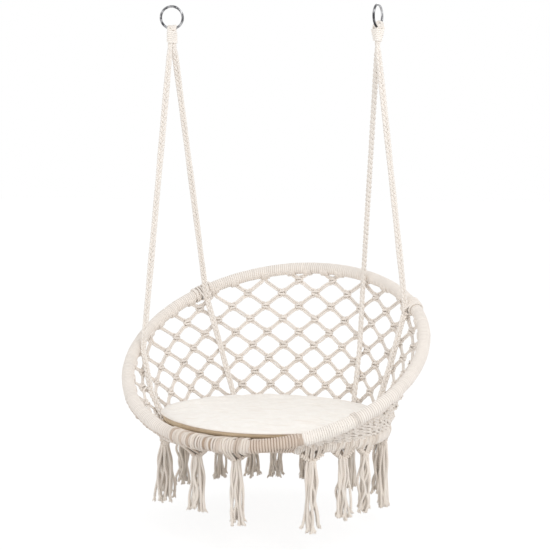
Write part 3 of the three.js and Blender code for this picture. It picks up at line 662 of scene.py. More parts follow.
# Hoop wraps: one cord wound closely round the rod, so its ribs lean by one rib for each turn.
def add_hoop_wrap(name, hoop, seed):
    ribs = int(round(TURN * hoop.radius / WRAP_PITCH))
    per_rib, sides = 5, 28
    count = ribs * per_rib
    column = np.arange(count)[:, None]
    v = np.arange(sides)[None] / sides * TURN
    u = (column / count) * TURN + v / ribs
    place = (column % per_rib + 0.5) / per_rib * 2 - 1
    rib = np.sqrt(np.maximum(1 - (RIB_FULLNESS * place) ** 2, 0))
    local = np.random.default_rng(seed)
    slow = sum(local.uniform(0.05, 0.14) * np.sin(k * u + local.uniform(0, TURN)) for k in (7, 13, 29, 47))
    uneven = local.normal(0, 0.11, ribs).repeat(per_rib)[:, None]
    degree = u / TURN % 1 * 360
    covered = sum((degree > first) & (degree < last) for first, last in COVERED)
    thick = WRAP_RADIUS - RIB_HEIGHT + RIB_HEIGHT * rib
    thick = thick + (slow + uneven) * (1 - covered) - COVERED_DROP * covered
    reach = hoop.radius + thick * np.cos(v)
    tint = local.random(ribs).repeat(per_rib)[:, None]
    # Beige painted shade on the wrap: light over 222 to 286 degrees, and strong where other cord work covers
    # it, up to 283 degrees.
    painted_shade = 0.3 * np.clip((degree - 222) / 14, 0, 1) * np.clip((286 - degree) / 12, 0, 1)
    painted_shade = painted_shade + 0.7 * covered * (degree < 283)
    work = Work()
    work.grid(hoop.placed(np.stack([reach * np.cos(u), reach * np.sin(u), thick * np.sin(v)], -1)),
              cord_shades(1 - rib, tint, painted_shade), per_rib)
    work.make(f"{name}_cord_wrap", WRAP, "hoop_wrap", f"{name}_wrap")


# Ropes.
def tail_point(top, foot, share):
    """A point of a rope's lower stretch, inside the net."""
    angle = top + (foot - top) * share
    point, _, _, outward = net_frame(angle, net_height(angle) * (1 - share))
    return point - outward * ROPE_INSET


def leg_place(way, height, sign):
    """The middle of one of a rope's two legs, close below its ring."""
    start, end = way["start"], way["end"]
    turn = math.radians(start + (end - start) * ramp(height, EYE_HEIGHT, WHIPPING_BOTTOM))
    reach = BIGHT_RADIUS + (LEG_OFFSET - BIGHT_RADIUS) * ramp(height, EYE_HEIGHT, WHIPPING_TOP)
    x = way["sign"] * RING_SPAN / 2 + sign * reach * math.cos(turn)
    return np.array([x, sign * reach * math.sin(turn), height])


def rope_half(top, foot, leg_start):
    """From the rope's end at the lower hoop, over its place behind the upper hoop, to its leg."""
    top, foot = math.radians(top), math.radians(foot)
    middle = tail_point(top, foot, 0.5)
    end = tail_point(top, foot, 1)
    heading = unit(end - middle)
    reach = np.linalg.norm(end - middle)
    while LOWER.distance(middle + heading * reach) < WRAP_RADIUS + 6.5:
        reach -= 0.2
    rim = UPPER.point(top)
    outward = unit(rim - UPPER.point(top, -ROPE_SEAT))
    return [middle + heading * reach, middle, rim - outward * ROPE_SEAT, leg_start]


def rope_route(way):
    heights = [LEG_SPLIT_HEIGHT, WHIPPING_BOTTOM, (WHIPPING_TOP + WHIPPING_BOTTOM) / 2, WHIPPING_TOP,
               (WHIPPING_TOP + EYE_HEIGHT) / 2]
    legs = [[leg_place(way, height, sign) for height in heights] for sign in (-1, 1)]
    halves = [rope_half(way["tops"][k], way["feet"][k], legs[k][0]) for k in (0, 1)]
    centre = np.array([way["sign"] * RING_SPAN / 2, 0, EYE_HEIGHT])
    start = math.radians(way["start"])
    across = np.array([math.cos(start), math.sin(start), 0])
    bight = []
    for i in range(10):
        angle = math.pi * (1 - i / 9)
        over = np.array([0, 0, BIGHT_RADIUS * math.sin(angle)])
        bight.append(centre + across * BIGHT_RADIUS * math.cos(angle) + over)
    return np.array(halves[0] + legs[0][1:] + bight + legs[1][:0:-1] + halves[1][::-1])


def add_rope(side):
    """A flat plait of three pairs of cords, bound close below the ring and spread over its wire."""
    route = softened(resample(rope_route(SIDES[side]), 1.5), 3.0)
    _, normals, binormals = frames_of(route[None], np.array([[0.3, -1.0, 0.0]]))
    along = lengths_along(route)
    bound = np.clip((route[:, 2] - LEG_SPLIT_HEIGHT + 18) / 18, 0, 1)
    eye = np.clip((route[:, 2] - EYE_HEIGHT + 16) / 14, 0, 1)
    uneven = 1 + 0.06 * np.sin(along / 57) + 0.05 * np.sin(along / 23 + 1)
    work = Work()
    for strand in range(3):
        for lag in (-0.29, 0.29):
            theta = along / PLAIT_PITCH * TURN + strand * TURN / 3 + lag
            sideways = (5.2 - 1.8 * bound + 6.2 * eye) * uneven * np.sin(theta)
            lift = (3.1 - 0.7 * bound - 1.2 * eye) * np.sin(2 * theta)
            path = route + binormals[0] * sideways[:, None] + normals[0] * lift[:, None]
            work.tube(resample(path, 1.5), 2.75, 10, 3, 12.0, 0.06)
    work.make(f"rope_{side}_plait", ROPE, "hanging_rope", f"rope_{side}")


# Whippings: a cord wound round both legs.
def around_pair(first, second, reach, angle):
    axis = second - first
    axis[2] = 0
    axis = unit(axis)
    normal = np.array([-axis[1], axis[0], 0])
    near = first if math.cos(angle) < 0 else second
    return near + axis * reach * math.cos(angle) + normal * reach * math.sin(angle)


def add_whipping(side):
    per_turn = 24
    steps = per_turn * WHIPPING_TURNS
    points = []
    for i in range(steps + 1):
        height = WHIPPING_TOP + 1.0 - i / per_turn * WHIPPING_PITCH
        first, second = (leg_place(SIDES[side], height, sign) for sign in (-1, 1))
        points.append(around_pair(first, second, 9.9 - 3.1 * i / steps, (i + 0.5) / per_turn * TURN))
    work = Work()
    work.tube(smooth_curve(points, 1.6), 2.4, 12, 0)
    work.make(f"ring_whipping_{side}_cord", WHIPPING, "whipping_cord", f"ring_whipping_{side}")


# The front binding: close turns round both hoops.
def add_binding():
    reach = WRAP_RADIUS - 1.8
    pitch = WINDING_PITCH * LOWER_RADIUS / (LOWER_RADIUS - reach)
    turns = int(math.radians(BINDING_SPREAD) * LOWER_RADIUS / pitch)
    per_turn = 36
    points = []
    for i in range(per_turn * turns + 1):
        angle = math.radians(BINDING_ANGLE) + (i / per_turn - turns / 2) * pitch / LOWER_RADIUS
        lower, _, tangent, _ = section(angle)
        upper = UPPER.point(upper_angle_facing(angle))
        axis = unit(upper - lower)
        normal = unit(np.cross(tangent, axis))
        turn = (i + 0.5) / per_turn * TURN
        near = lower if math.cos(turn) < 0 else upper
        points.append(near + axis * reach * math.cos(turn) + normal * reach * math.sin(turn))
    work = Work()
    work.tube(smooth_curve(points, 1.8), WINDING_CORD, 12, 3, 11.0, 0.06)
    work.make("front_binding_cord", BINDING, "binding_cord", "front_binding")


# Sections through the hoops.
def arc(section, turns, reach):
    """Points round a section's middle."""
    middle, radial, axis = section
    return middle + radial * (reach * np.cos(turns))[..., None] + axis * (reach * np.sin(turns))[..., None]


def section(angle):
    """The lower hoop's middle, radial and tangent at an angle, and how far out and up the upper hoop lies."""
    middle = LOWER.point(angle)
    radial = LOWER.turn @ np.array([math.cos(angle), math.sin(angle), 0])
    tangent = LOWER.turn @ np.array([-math.sin(angle), math.cos(angle), 0])
    gap = UPPER.point(upper_angle_facing(angle)) - middle
    return middle, radial, tangent, np.array([gap @ radial, gap @ LOWER.axis])


def hull(points):
    points = sorted(map(tuple, points))

    def half(ordered):
        kept = []
        for p in ordered:
            while len(kept) > 1:
                (ax, ay), (bx, by) = kept[-2], kept[-1]
                if (bx - ax) * (p[1] - ay) - (by - ay) * (p[0] - ax) > 0:
                    break
                kept.pop()
            kept.append(p)
        return kept[:-1]

    return np.array(half(points) + half(points[::-1]))


def circle(radius, count):
    turns = np.arange(count) / count * TURN
    return np.stack([radius * np.cos(turns), radius * np.sin(turns)], -1)


def taut_loop(angle, reach, both, ends=None):
    """A cord laid tight round one hoop or both, in a section plane. It starts and ends at the point ends."""
    middle, radial, _, gap = section(angle)
    flat = [circle(reach, 48)]
    if both:
        flat.append(flat[0] + gap)
    if ends is not None:
        flat.append(np.array([ends]))
    outline = hull(np.vstack(flat))
    if ends is not None:
        start = int(np.argmin(np.linalg.norm(outline - np.array(ends), axis=1)))
        outline = np.vstack([np.roll(outline, -start, 0), outline[start]])
    return middle + outline[:, :1] * radial + outline[:, 1:] * LOWER.axis


def is_bound(angle):
    return abs(math.degrees(angle) % 360 - BINDING_ANGLE) < BOUND_REACH


def is_close(angle):
    return np.hypot(*section(angle)[3]) < CLOSE_HOOPS


# The net: knots at the crossings, with a pair of cords along each strand.
net_points = np.vstack([
    np.array([v.co for v in nodes[f"net_panel_{number:02d}"].data.vertices]) / MM
    for number in range(1, PANELS + 1)
])
knots = {}
for column in range(HALF_COLUMNS):
    for row in range(1, 14):
        if (column + row) % 2 and row * ROW_HEIGHT < net_height(column * HALF_COLUMN):
            knot = net_frame(column * HALF_COLUMN, row * ROW_HEIGHT)
            if np.min(np.linalg.norm(net_points - (knot[0] + knot[3] * 6), axis=1)) < 0.5:
                knots[column, row] = knot


def strand_line(column, row, step, shares, to_hoop=False):
    """Points and outward directions of a strand, at shares of the way to the next crossing."""
    sideways = np.minimum(shares, 0.9) if to_hoop else shares
    angles = (column + step[0] * sideways) * HALF_COLUMN
    place, _, _, outward = net_frame(angles, (row + step[1] * shares) * ROW_HEIGHT)
    return place, outward


def strand_to_hoop(column, row, step):
    """The share of the way at which a strand goes into a hoop's wrap, and which hoop."""
    shares = np.arange(0.1, 2.2, 0.01)
    place, _ = strand_line(column, row, step, shares, True)
    upper, lower = UPPER.distance(place), LOWER.distance(place)
    hits = np.nonzero(np.minimum(upper, lower) < WRAP_RADIUS - 1.0)[0]
    if not len(hits):
        return None, None
    return shares[hits[0]], "upper" if upper[hits[0]] < lower[hits[0]] else "lower"


def cut_line(place, outward):
    """Leaves out the first stretch of a line, which the knot's own cords fill."""
    lengths = lengths_along(place)
    wanted = np.linspace(min(KNOT_REACH - 0.8, lengths[-1] * 0.6), lengths[-1], 8)
    return interpolated(wanted, lengths, place), unit(interpolated(wanted, lengths, outward))


def add_pair(work, place, outward):
    """Two cords side by side along a line, each a little uneven."""
    heading = unit(np.gradient(place, axis=0))
    side = unit(np.cross(heading, outward))
    shares = np.linspace(0, 1, len(place))[:, None]
    for sign in (-1, 1):
        bulge = np.sin(math.pi * shares) * rng.normal(0, 0.45)
        lift = np.sin(math.pi * shares) * rng.normal(0, 0.7)
        work.tube(smooth_curve(place + side * (sign * PAIR_OFFSET + bulge) + outward * lift), CORD)


def add_knot(work, knot, headings, reach=KNOT_REACH, scale=1.33):
    """A flat square knot of four cords. headings are the four directions in which its pairs leave."""
    place, knot_up, knot_across, outward = knot
    flip = rng.choice([-1, 1])
    tilt = rng.normal(0, 0.08)
    size = scale * rng.uniform(0.95, 1.05)
    across = knot_across * math.cos(tilt) + knot_up * math.sin(tilt)
    up = knot_up * math.cos(tilt) - knot_across * math.sin(tilt)

    def local(x, y, z):
        return place + (across * x * flip + up * y + outward * z) * size

    # Ports by place: right top, left top, left bottom, right bottom, as the flip leaves them.
    order = [0, 1, 2, 3] if flip > 0 else [1, 0, 3, 2]

    def leave(port, is_inner):
        real = order[port]
        sign = (-1, 1, -1, 1)[real] * (1 if is_inner else -1)
        heading = headings[real]
        return place + heading * reach + unit(np.cross(heading, outward)) * sign * PAIR_OFFSET

    for x, top, bottom in ((-1, 1, 2), (1, 0, 3)):
        filler = [local(x * 2.2, 6.5, 0.3), local(x * 2.1, 0, 0), local(x * 2.2, -6.5, 0.3)]
        work.tube(smooth_curve([leave(top, True), *filler, leave(bottom, True)], 1.3), KNOT_CORD)
    for turns, top, bottom in ((OVER, 1, 2), (UNDER, 0, 3)):
        worker = [local(*point) for point in turns]
        work.tube(smooth_curve([leave(top, False), *worker, leave(bottom, False)], 1.3), KNOT_CORD)


def add_net():
    """Makes the panels, and returns where strands go into the hoops' wraps: which hoop, and the place."""
    works = [Work() for _ in range(PANELS)]
    hoop_ends = []
    for (column, row), knot in knots.items():
        panel = min(((column - FIRST_HALF_COLUMN) % HALF_COLUMNS) // 4, PANELS - 1)
        headings = []
        for step in STRAND_STEPS:
            other = knots.get(((column + step[0]) % HALF_COLUMNS, row + step[1]))
            if other is not None:
                place, outward = strand_line(column, row, step, np.linspace(0, 1, 21))
            else:
                end, hoop = strand_to_hoop(column, row, step)
                if end is None:
                    place, outward = strand_line(column, row, step, np.linspace(0, 0.3, 8))
                    headings.append(unit(place[2] - place[0]))
                    continue
                place, outward = strand_line(column, row, step, np.linspace(0, end, 21), True)
                hoop_ends.append((hoop, place[-1]))
            lengths = lengths_along(place)
            near = interpolated(min(KNOT_REACH, lengths[-1]), lengths, place)
            headings.append(unit(near - knot[0]))
            if other is None:
                if lengths[-1] > KNOT_REACH - 1:
                    add_pair(works[panel], *cut_line(place, outward))
            elif step[1] > 0:
                line, out = cut_line(place, outward)
                back, back_out = cut_line(line[::-1], out[::-1])
                add_pair(works[panel], back[::-1], back_out[::-1])
        add_knot(works[panel], knot, headings)
    for number, work in enumerate(works, 1):
        work.make(f"net_panel_{number:02d}_cords", NET, "basket_net", f"net_panel_{number:02d}")
    return hoop_ends


# Small knots where the net's cords leave the upper hoop's wrap.
def add_upper_ties(hoop_ends):
    work = Work()
    done = []
    for hoop, place in hoop_ends:
        if hoop != "upper" or any(np.linalg.norm(place - other) < 14 for other in done):
            continue
        done.append(place)
        for k in range(-2, 3):
            flat, radial, axis = spot = UPPER.cross_section(UPPER.angle_of(place) + k * 4.4 / UPPER_RADIUS)
            toward = math.atan2(dot(place - flat, axis)[0], dot(place - flat, radial)[0])
            half = math.radians(rng.uniform(58, 76))
            work.tie(spot, np.linspace(toward - half, toward + half, 13), 1.7, 3.6, rng.normal(0, 0.2))
    work.make("upper_hoop_net_ties", NET, "basket_net")


# Lark's heads on the lower hoop: two loops and a bar across them.
def add_larks_head(work, angle, width=2.5):
    reach = WRAP_RADIUS + 1.2
    for sign in (-1, 1):
        work.even_ring(taut_loop(angle + sign * width / LOWER_RADIUS, reach + rng.normal(0, 0.15), False))
    middle, radial, tangent, gap = section(angle)
    turn = math.atan2(gap[1], gap[0]) + math.radians(rng.uniform(38, 50))
    direction = radial * math.cos(turn) + LOWER.axis * math.sin(turn)
    points = [middle + tangent * x + direction * (reach + h) for x, h in LARKS_HEAD_BAR]
    work.tube(smooth_curve(points), CORD)


def add_lower_ties(hoop_ends):
    work = Work()
    spots = [LOWER.angle_of(place) % TURN for hoop, place in hoop_ends if hoop == "lower"]
    spots += [k / 96 * TURN for k in range(96)]
    done = []
    for angle in sorted(spots):
        if is_bound(angle) or 286 < math.degrees(angle) % 360 < 352 or is_close(angle):
            continue
        if any(apart(angle, other) < 10.0 / LOWER_RADIUS for other in done):
            continue
        if any(apart(angle, place * TURN) < 36.0 / LOWER_RADIUS for place, _, _ in TASSELS):
            continue
        done.append(angle)
        add_larks_head(work, angle)
    work.make("lower_hoop_net_ties", NET, "basket_net")


# Tassels.
def arm_drop(u):
    """How far below the hoop the gather lies, u from the tassel's middle."""
    return TASSEL_GATHER - GATHER_RISE * (abs(u) / TASSEL_HALF_WIDTH) ** 0.9


def add_tassel_loops(work, angle, both, loop_shade):
    """The loops that carry the gather, two cords to each."""
    middle, radial, tangent, _ = section(angle)
    for u in np.linspace(-TASSEL_HALF_WIDTH, TASSEL_HALF_WIDTH, 5) + rng.normal(0, 1.5, 5):
        slant = rng.normal(0, 2.0)
        for side in (-1, 1):
            drop = arm_drop(u)
            below = radial * rng.normal(0.0, 0.8) - np.array([0, 0, drop])
            at = angle + (u + side * 2.55) / LOWER_RADIUS
            reach = WRAP_RADIUS + 0.2 + rng.normal(0, 0.25)
            loop = taut_loop(at, reach, both, (below @ radial, below @ LOWER.axis))
            low = np.clip((middle[2] - WRAP_RADIUS - loop[:, 2]) / drop, 0, 1)
            high = np.clip((loop[:, 2] - middle[2]) / WRAP_RADIUS, -1, 1)
            loop = loop + np.outer(-0.14 * u * low + slant * high, tangent)
            # Each loop gets its own amount of the beige painted shade.
            work.painted_shade = loop_shade + rng.uniform(-1, 1) * loop_shade * 0.9
            work.tube(smooth_curve(resample(loop, 6.0), 1.5), CORD)


def add_gather(work, number, middle, tangent, out):
    """Hitches along a line that dips in the middle."""
    top = np.array([0, 0, 1.0])
    for depth in (-3.6, 3.6):
        us = np.linspace(-TASSEL_HALF_WIDTH - 1, TASSEL_HALF_WIDTH + 1, 23)
        line = [middle + tangent * u * 0.9 + out * depth * (1 - 0.25 * abs(u) / TASSEL_HALF_WIDTH)
                - top * (arm_drop(u) + 0.5) for u in us]
        line = smooth_curve(line, 1.0)
        work.tube(resample(line, 2.0), 2.6, 8, 0)
        _, normals, binormals = frames_of(line[None])
        along = np.arange(len(line)) * 1.0
        turn = along / 6.4 * TURN * np.sign(depth)
        swell = 3.4 + 0.7 * np.sin(along / 6.4 * TURN * 0.5 + number)
        work.tube(smooth_curve(arc((line, normals[0], binormals[0]), turn, swell), 1.3), 2.4, 9)


def add_fray(work, line, along_hoop, out, x, k):
    """A cord's frayed end: its plies part and spread."""
    end = line[-1]
    heading = unit(unit(line[-1] - line[-4]) + along_hoop * x * 0.35)
    for ply in range(8):
        turned = ply / 8 * TURN + k
        away = (along_hoop * math.cos(turned) + out * math.sin(turned)) * rng.uniform(1.2, 5.0)
        down = rng.uniform(8, 14)
        ends = [end - heading * 3 + away * 0.22, end + heading * down * 0.35 + away * 0.6,
                end + heading * down * 0.75 + away * 1.0, end + heading * down + away * rng.uniform(1.1, 1.5)]
        fray = smooth_curve(ends, 1.6)
        work.tube(fray, np.linspace(1.75, 1.35, len(fray)), 6, 2, 6.0, 0.2)


def add_tassel(number, place, length_share, spread):
    work = Work()
    angle = place * TURN
    middle, _, tangent, _ = section(angle)
    top = np.array([0, 0, 1.0])
    out = unit(np.array([math.cos(angle), math.sin(angle), 0]))
    along_hoop = np.array([-out[1], out[0], 0])
    foot = WRAP_RADIUS + 0.3 + TASSEL_LENGTH * length_share
    both = is_close(angle)
    # Beige painted shade on the loops and the gather, more where the hoops lie close.
    loop_shade = 0.42 if both else 0.2
    add_tassel_loops(work, angle, both, loop_shade)
    work.painted_shade = loop_shade * 0.6
    add_gather(work, number, middle, tangent, out)

    # Hanging cords, spread evenly over the tassel's section.
    work.painted_shade = 0.0
    count = 12 if spread < 1.3 else 16
    golden = math.pi * (3 - math.sqrt(5))
    lean = rng.normal(0, 2.0)
    for k in range(count):
        share = math.sqrt((k + 0.5) / count)
        turn = k * golden + number
        x, y = share * math.cos(turn), share * math.sin(turn)
        own = foot - 14 - rng.uniform(0, 17)
        start = TASSEL_GATHER - 5 - 7 * abs(x)
        drops = np.linspace(start, own, 14)
        fall = (drops - start) / (own - start)
        belly = np.sin(np.minimum(fall * 1.25, 1) * math.pi / 2)
        flare = 4.5 * np.maximum(fall - 0.7, 0) / 0.3
        wide = 10.5 + (19.5 * spread - 10.5) * belly - 7.0 * np.maximum(fall - 0.35, 0) + flare
        deep = 7.5 + (5.0 + 30.0 * max(spread - 1.2, 0)) * belly
        wave = rng.uniform(1.5, 5.5, 2) * np.minimum(fall * 2.5, 1)[:, None]
        phase = rng.uniform(0, TURN, 2)
        shift = wave * np.sin(fall[:, None] * rng.uniform(4, 11) + phase)
        line = (middle + np.outer(x * wide + shift[:, 0] + lean * fall, along_hoop)
                + np.outer(y * deep + shift[:, 1], out) - np.outer(drops, top))
        line = smooth_curve(line, 1.4)
        radius = np.full(len(line), TASSEL_CORD)
        tail = min(9, len(line) // 3)
        radius[-tail:] = TASSEL_CORD * np.linspace(1, 1.2, tail)
        work.tube(line, radius, 12, 3, 15.0, 0.24)
        add_fray(work, line, along_hoop, out, x, k)
    work.make(f"tassel_{number:02d}_cords", TASSEL, "tassel", f"tassel_{number:02d}")


# The seat net: pairs of cords with knots where they cross, tied to the lower hoop.
def add_seat_net():
    work = Work()
    reach = LOWER_RADIUS - WRAP_RADIUS - 1.0
    count = int(math.ceil(reach / (SEAT_CELL / 2))) + 1
    crossings = {}
    for column in range(-count, count + 1):
        for row in range(-count, count + 1):
            spot = np.array([column, row]) * SEAT_CELL / 2
            if (column + row) % 2 and np.hypot(*spot) < reach - 14:
                crossings[column, row] = spot
    for (column, row), spot in crossings.items():
        place = LOWER.centre + LOWER.turn @ np.array([*spot, 0])
        headings = []
        for step in STRAND_STEPS:
            flat = unit(np.array([*step, 0.0]))
            heading = LOWER.turn @ flat
            headings.append(heading)
            if (column + step[0], row + step[1]) in crossings:
                if step[1] < 0:
                    continue
                end = SEAT_CELL / math.sqrt(2) - KNOT_REACH + 0.8
            else:
                b = spot @ flat[:2]
                end = -b + math.sqrt(max(b * b - spot @ spot + (reach + 2) ** 2, 0))
                if end < KNOT_REACH:
                    continue
                at = LOWER.angle_of(place + heading * end)
                if not is_bound(at):
                    add_seat_tie(work, at)
            line = np.linspace(KNOT_REACH - 0.8, end, 8)
            add_pair(work, place + line[:, None] * heading, np.repeat(LOWER.axis[None], 8, 0))
        add_knot(work, (place, LOWER.turn[:, 1], LOWER.turn[:, 0], LOWER.axis), headings)
    work.make("seat_net_cords", SEAT, "seat_net", "seat_net")


def add_seat_tie(work, angle):
    for sign in (-1, 1):
        middle, radial, _, _ = section(angle + sign * 2.4 / LOWER_RADIUS)
        turns = np.linspace(math.radians(150), math.radians(250), 12)
        work.tie((middle, radial, LOWER.axis), turns, 1.6, 3.4)


# Dense cord work at the right front: lark's heads on the lower hoop, and close rows of knots above.
def add_front_macrame():
    work = Work()
    degree = 287.5
    while degree < 372:
        nearest = min(abs((degree - place * 360 + 180) % 360 - 180) for place, _, _ in TASSELS)
        if nearest * math.radians(1) * LOWER_RADIUS > 31:
            add_larks_head(work, math.radians(degree), 2.6)
        degree += math.degrees(rng.uniform(10.4, 12.2) / LOWER_RADIUS)
    step = 12.5 / LOWER_RADIUS
    for column in range(int(math.radians(286) / step), int(math.radians(371) / step)):
        for row in range(5):
            angle = (column + rng.normal(0, 0.09)) * step
            rise = 13 + 13.5 * row + rng.normal(0, 0.9)
            top_row = 4 if math.degrees(angle) < 322 else 3 if math.degrees(angle) < 340 else 2
            if (column + row) % 2 or row > top_row or rise > net_height(angle) - WRAP_RADIUS - 5:
                continue
            place, up, across, outward = net_frame(angle, rise)
            knot = (place + outward * rng.uniform(2.0, 5.0), up, across, outward)
            headings = [unit(across * (a + rng.normal(0, 0.15)) + up * (b + rng.normal(0, 0.15)))
                        for a, b in STRAND_STEPS]
            add_knot(work, knot, headings, 11.5, 1.16)
    work.make("front_macrame_cords", NET, "basket_net")


# Loose hitches that fill the front between its tassels, round both hoops.
def add_front_hitches():
    work = Work()
    for degree, last in ((242.6, 252.4), (264.3, 266.6)):
        while degree < last:
            for side in (-1, 1):
                at = math.radians(degree) + side * 2.5 / LOWER_RADIUS
                loop = taut_loop(at, WRAP_RADIUS - 1.1 + rng.normal(0, 0.35), True)
                high = np.clip((loop[:, 2] - LOWER.centre[2]) / 30, -1, 1)
                loop = loop + np.outer(high * rng.normal(0, 1.6), section(at)[2])
                # Each hitch gets its own amount of beige painted shade.
                work.painted_shade = rng.uniform(0.05, 0.6)
                work.even_ring(loop)
            degree += rng.uniform(2.4, 3.2)
    work.make("front_hitches", NET, "basket_net")


# Ties that hold the ropes to the upper hoop at the back.
def add_rope_ties():
    work = Work()
    for top, width in ((SIDES["left"]["tops"][1], 5), (SIDES["right"]["tops"][0], 3)):
        for k in np.linspace(-width, width, 2 * width + 1):
            flat, radial, axis = UPPER.cross_section(math.radians(top) + k * 4.9 / UPPER_RADIUS)
            ring = circle(WRAP_RADIUS + 2.0, 40)
            if abs(k) < 3:
                ring = hull(np.vstack([ring, circle(8.8, 40) + np.array([-ROPE_SEAT, 0])]))
            path = flat + ring[:, :1] * radial + ring[:, 1:] * axis
            sway = np.sin(np.linspace(0, TURN, len(path)))
            work.even_ring(path + np.outer(sway, unit(np.cross(radial, axis))) * rng.normal(0, 1.8))
    work.make("upper_hoop_rope_ties", NET, "basket_net")


# A thin band of three turns on the upper hoop, and the close winding between it and the front binding.
def add_thin_band():
    work = Work()
    turns = np.arange(40) / 40 * TURN
    for k in range(3):
        spot = UPPER.cross_section(math.radians(302.5) + k * 4.6 / UPPER_RADIUS)
        work.ring(arc(spot, turns, WRAP_RADIUS + 1.3), 2.0)
    work.make("upper_hoop_thin_band", NET, "binding_cord")


def add_front_winding():
    work = Work()
    first, last = math.radians(283.5), math.radians(302)
    turns = (last - first) * UPPER_RADIUS / WINDING_PITCH
    shares = np.linspace(0, 1, int(36 * turns))
    spots = UPPER.cross_section(first + (last - first) * shares)
    points = arc(spots, shares * turns * TURN, WRAP_RADIUS - COVERED_DROP)
    work.tube(smooth_curve(points, 1.8), WINDING_CORD, 12, 0)
    work.make("upper_hoop_front_winding", WRAP, "hoop_wrap")


# Cord ends that bulge on the outside of the upper hoop at the lower left.
def add_outer_bumps():
    work = Work()
    # These ties carry beige painted shade.
    work.painted_shade = 0.35
    degree = 196.0
    while degree < 243:
        for side in (-1, 1):
            middle = math.radians(-62 + rng.normal(0, 5))
            turns = middle + math.radians(rng.uniform(34, 48)) * np.linspace(-1, 1, 11)
            spot = UPPER.cross_section(math.radians(degree) + side * 2.5 / UPPER_RADIUS)
            work.tie(spot, turns, 1.5, 3.6, rng.normal(0, 0.3))
        degree += rng.uniform(1.9, 2.6)
    work.make("upper_hoop_outer_ties", NET, "basket_net")


# The cushion.
def settled(piece):
    """Applies what the modifiers make of a piece to its mesh."""
    graph = bpy.context.evaluated_depsgraph_get()
    mesh = bpy.data.meshes.new_from_object(piece.evaluated_get(graph))
    old = piece.data
    piece.modifiers.clear()
    piece.data = mesh
    mesh.name = old.name
    bpy.data.meshes.remove(old)


def cushion_shape():
    """The CAD cushion, a little smaller, blown up as cloth by at most a cap."""
    mesh = nodes["seat_cushion"].data.copy()
    mesh.name = "seat_cushion_cover"
    piece = add_object("seat_cushion_cover", mesh)
    mesh.materials.clear()
    centre = Vector((LOWER.centre + LOWER.axis * SEAM_HEIGHT) * MM)
    for vertex in mesh.vertices:
        away = vertex.co - centre
        vertex.co = centre + Vector((away.x * 0.992, away.y * 0.992, away.z * 0.96))
    bpy.context.view_layer.objects.active = piece
    remesh = piece.modifiers.new("remesh", "REMESH")
    remesh.mode = "VOXEL"
    remesh.voxel_size = 0.0055
    settled(piece)
    rest = [v.co.copy() for v in piece.data.vertices]
    cloth = piece.modifiers.new("cloth", "CLOTH")
    settings = cloth.settings
    settings.quality = 5
    settings.mass = 0.3
    settings.use_pressure = True
    settings.uniform_pressure_force = 4
    settings.effector_weights.gravity = 0
    settings.tension_stiffness = settings.compression_stiffness = 12
    settings.bending_stiffness = 0.5
    cloth.collision_settings.use_self_collision = False
    cloth.point_cache.frame_start = 1
    cloth.point_cache.frame_end = 20
    for number in range(1, 21):
        scene.frame_set(number)
        bpy.context.view_layer.update()
    settled(piece)
    scene.frame_set(1)
    for vertex, start in zip(piece.data.vertices, rest):
        move = vertex.co - start
        across = Vector((start.x - centre.x, start.y - centre.y, 0)).length
        cap = 0.014 * max(0.0, min(1.0, (0.262 - across) / 0.05)) + 0.0022
        if start.z < centre.z - 0.012:
            cap = 0.002
        if move.length > cap:
            vertex.co = start + move * (cap / move.length)
    return piece


def edge_shift(flat):
    """How far the cushion's edge stands up at its left end and droops at the front."""
    tip = np.array([math.cos(TIP_ANGLE), math.sin(TIP_ANGLE)])
    left = np.maximum(flat @ tip / CUSHION_RADIUS, 0) ** EDGE_POWER
    front = np.maximum(-flat[..., 1] / CUSHION_RADIUS, 0) ** EDGE_POWER
    return TIP_LIFT * left - FRONT_DROOP * front


def fold_height(flat):
    """Folds of the cover: a groove along a line, with a ridge on one side of it."""
    height = np.zeros(len(flat))
    for start, end, width, depth in FOLDS:
        way = np.array(end, dtype=float) - start
        reach = np.linalg.norm(way)
        along = (flat - start) @ way / reach**2
        aside = ((flat - start) @ np.array([-way[1], way[0]]) / reach - 9 * np.sin(3.0 * along)) / width
        fade = np.clip(along * 6, 0, 1) * np.clip((1 - along) * 1.8, 0, 1)
        height -= depth * fade * (np.exp(-(aside**2)) - 0.75 * np.exp(-((aside - 1.9) ** 2) / 1.6))
    return height


def crease_height(x, y, angle, share):
    """Creases of the cover at a point: long and short ones, and rays towards the rim."""
    stretched = noise.noise(Vector((x * 0.011 + y * 0.004, y * 0.052 - x * 0.006, 3.0)))
    tight = noise.noise(Vector((x * 0.03, y * 0.11 + x * 0.012, 9.0)))
    rays = noise.noise(Vector((math.cos(angle) * 8, math.sin(angle) * 8, share * 2.2)))
    return 3.0 * stretched + 1.6 * tight + 5.5 * rays * max(0.0, share - 0.45) * (1.02 - share) * 6


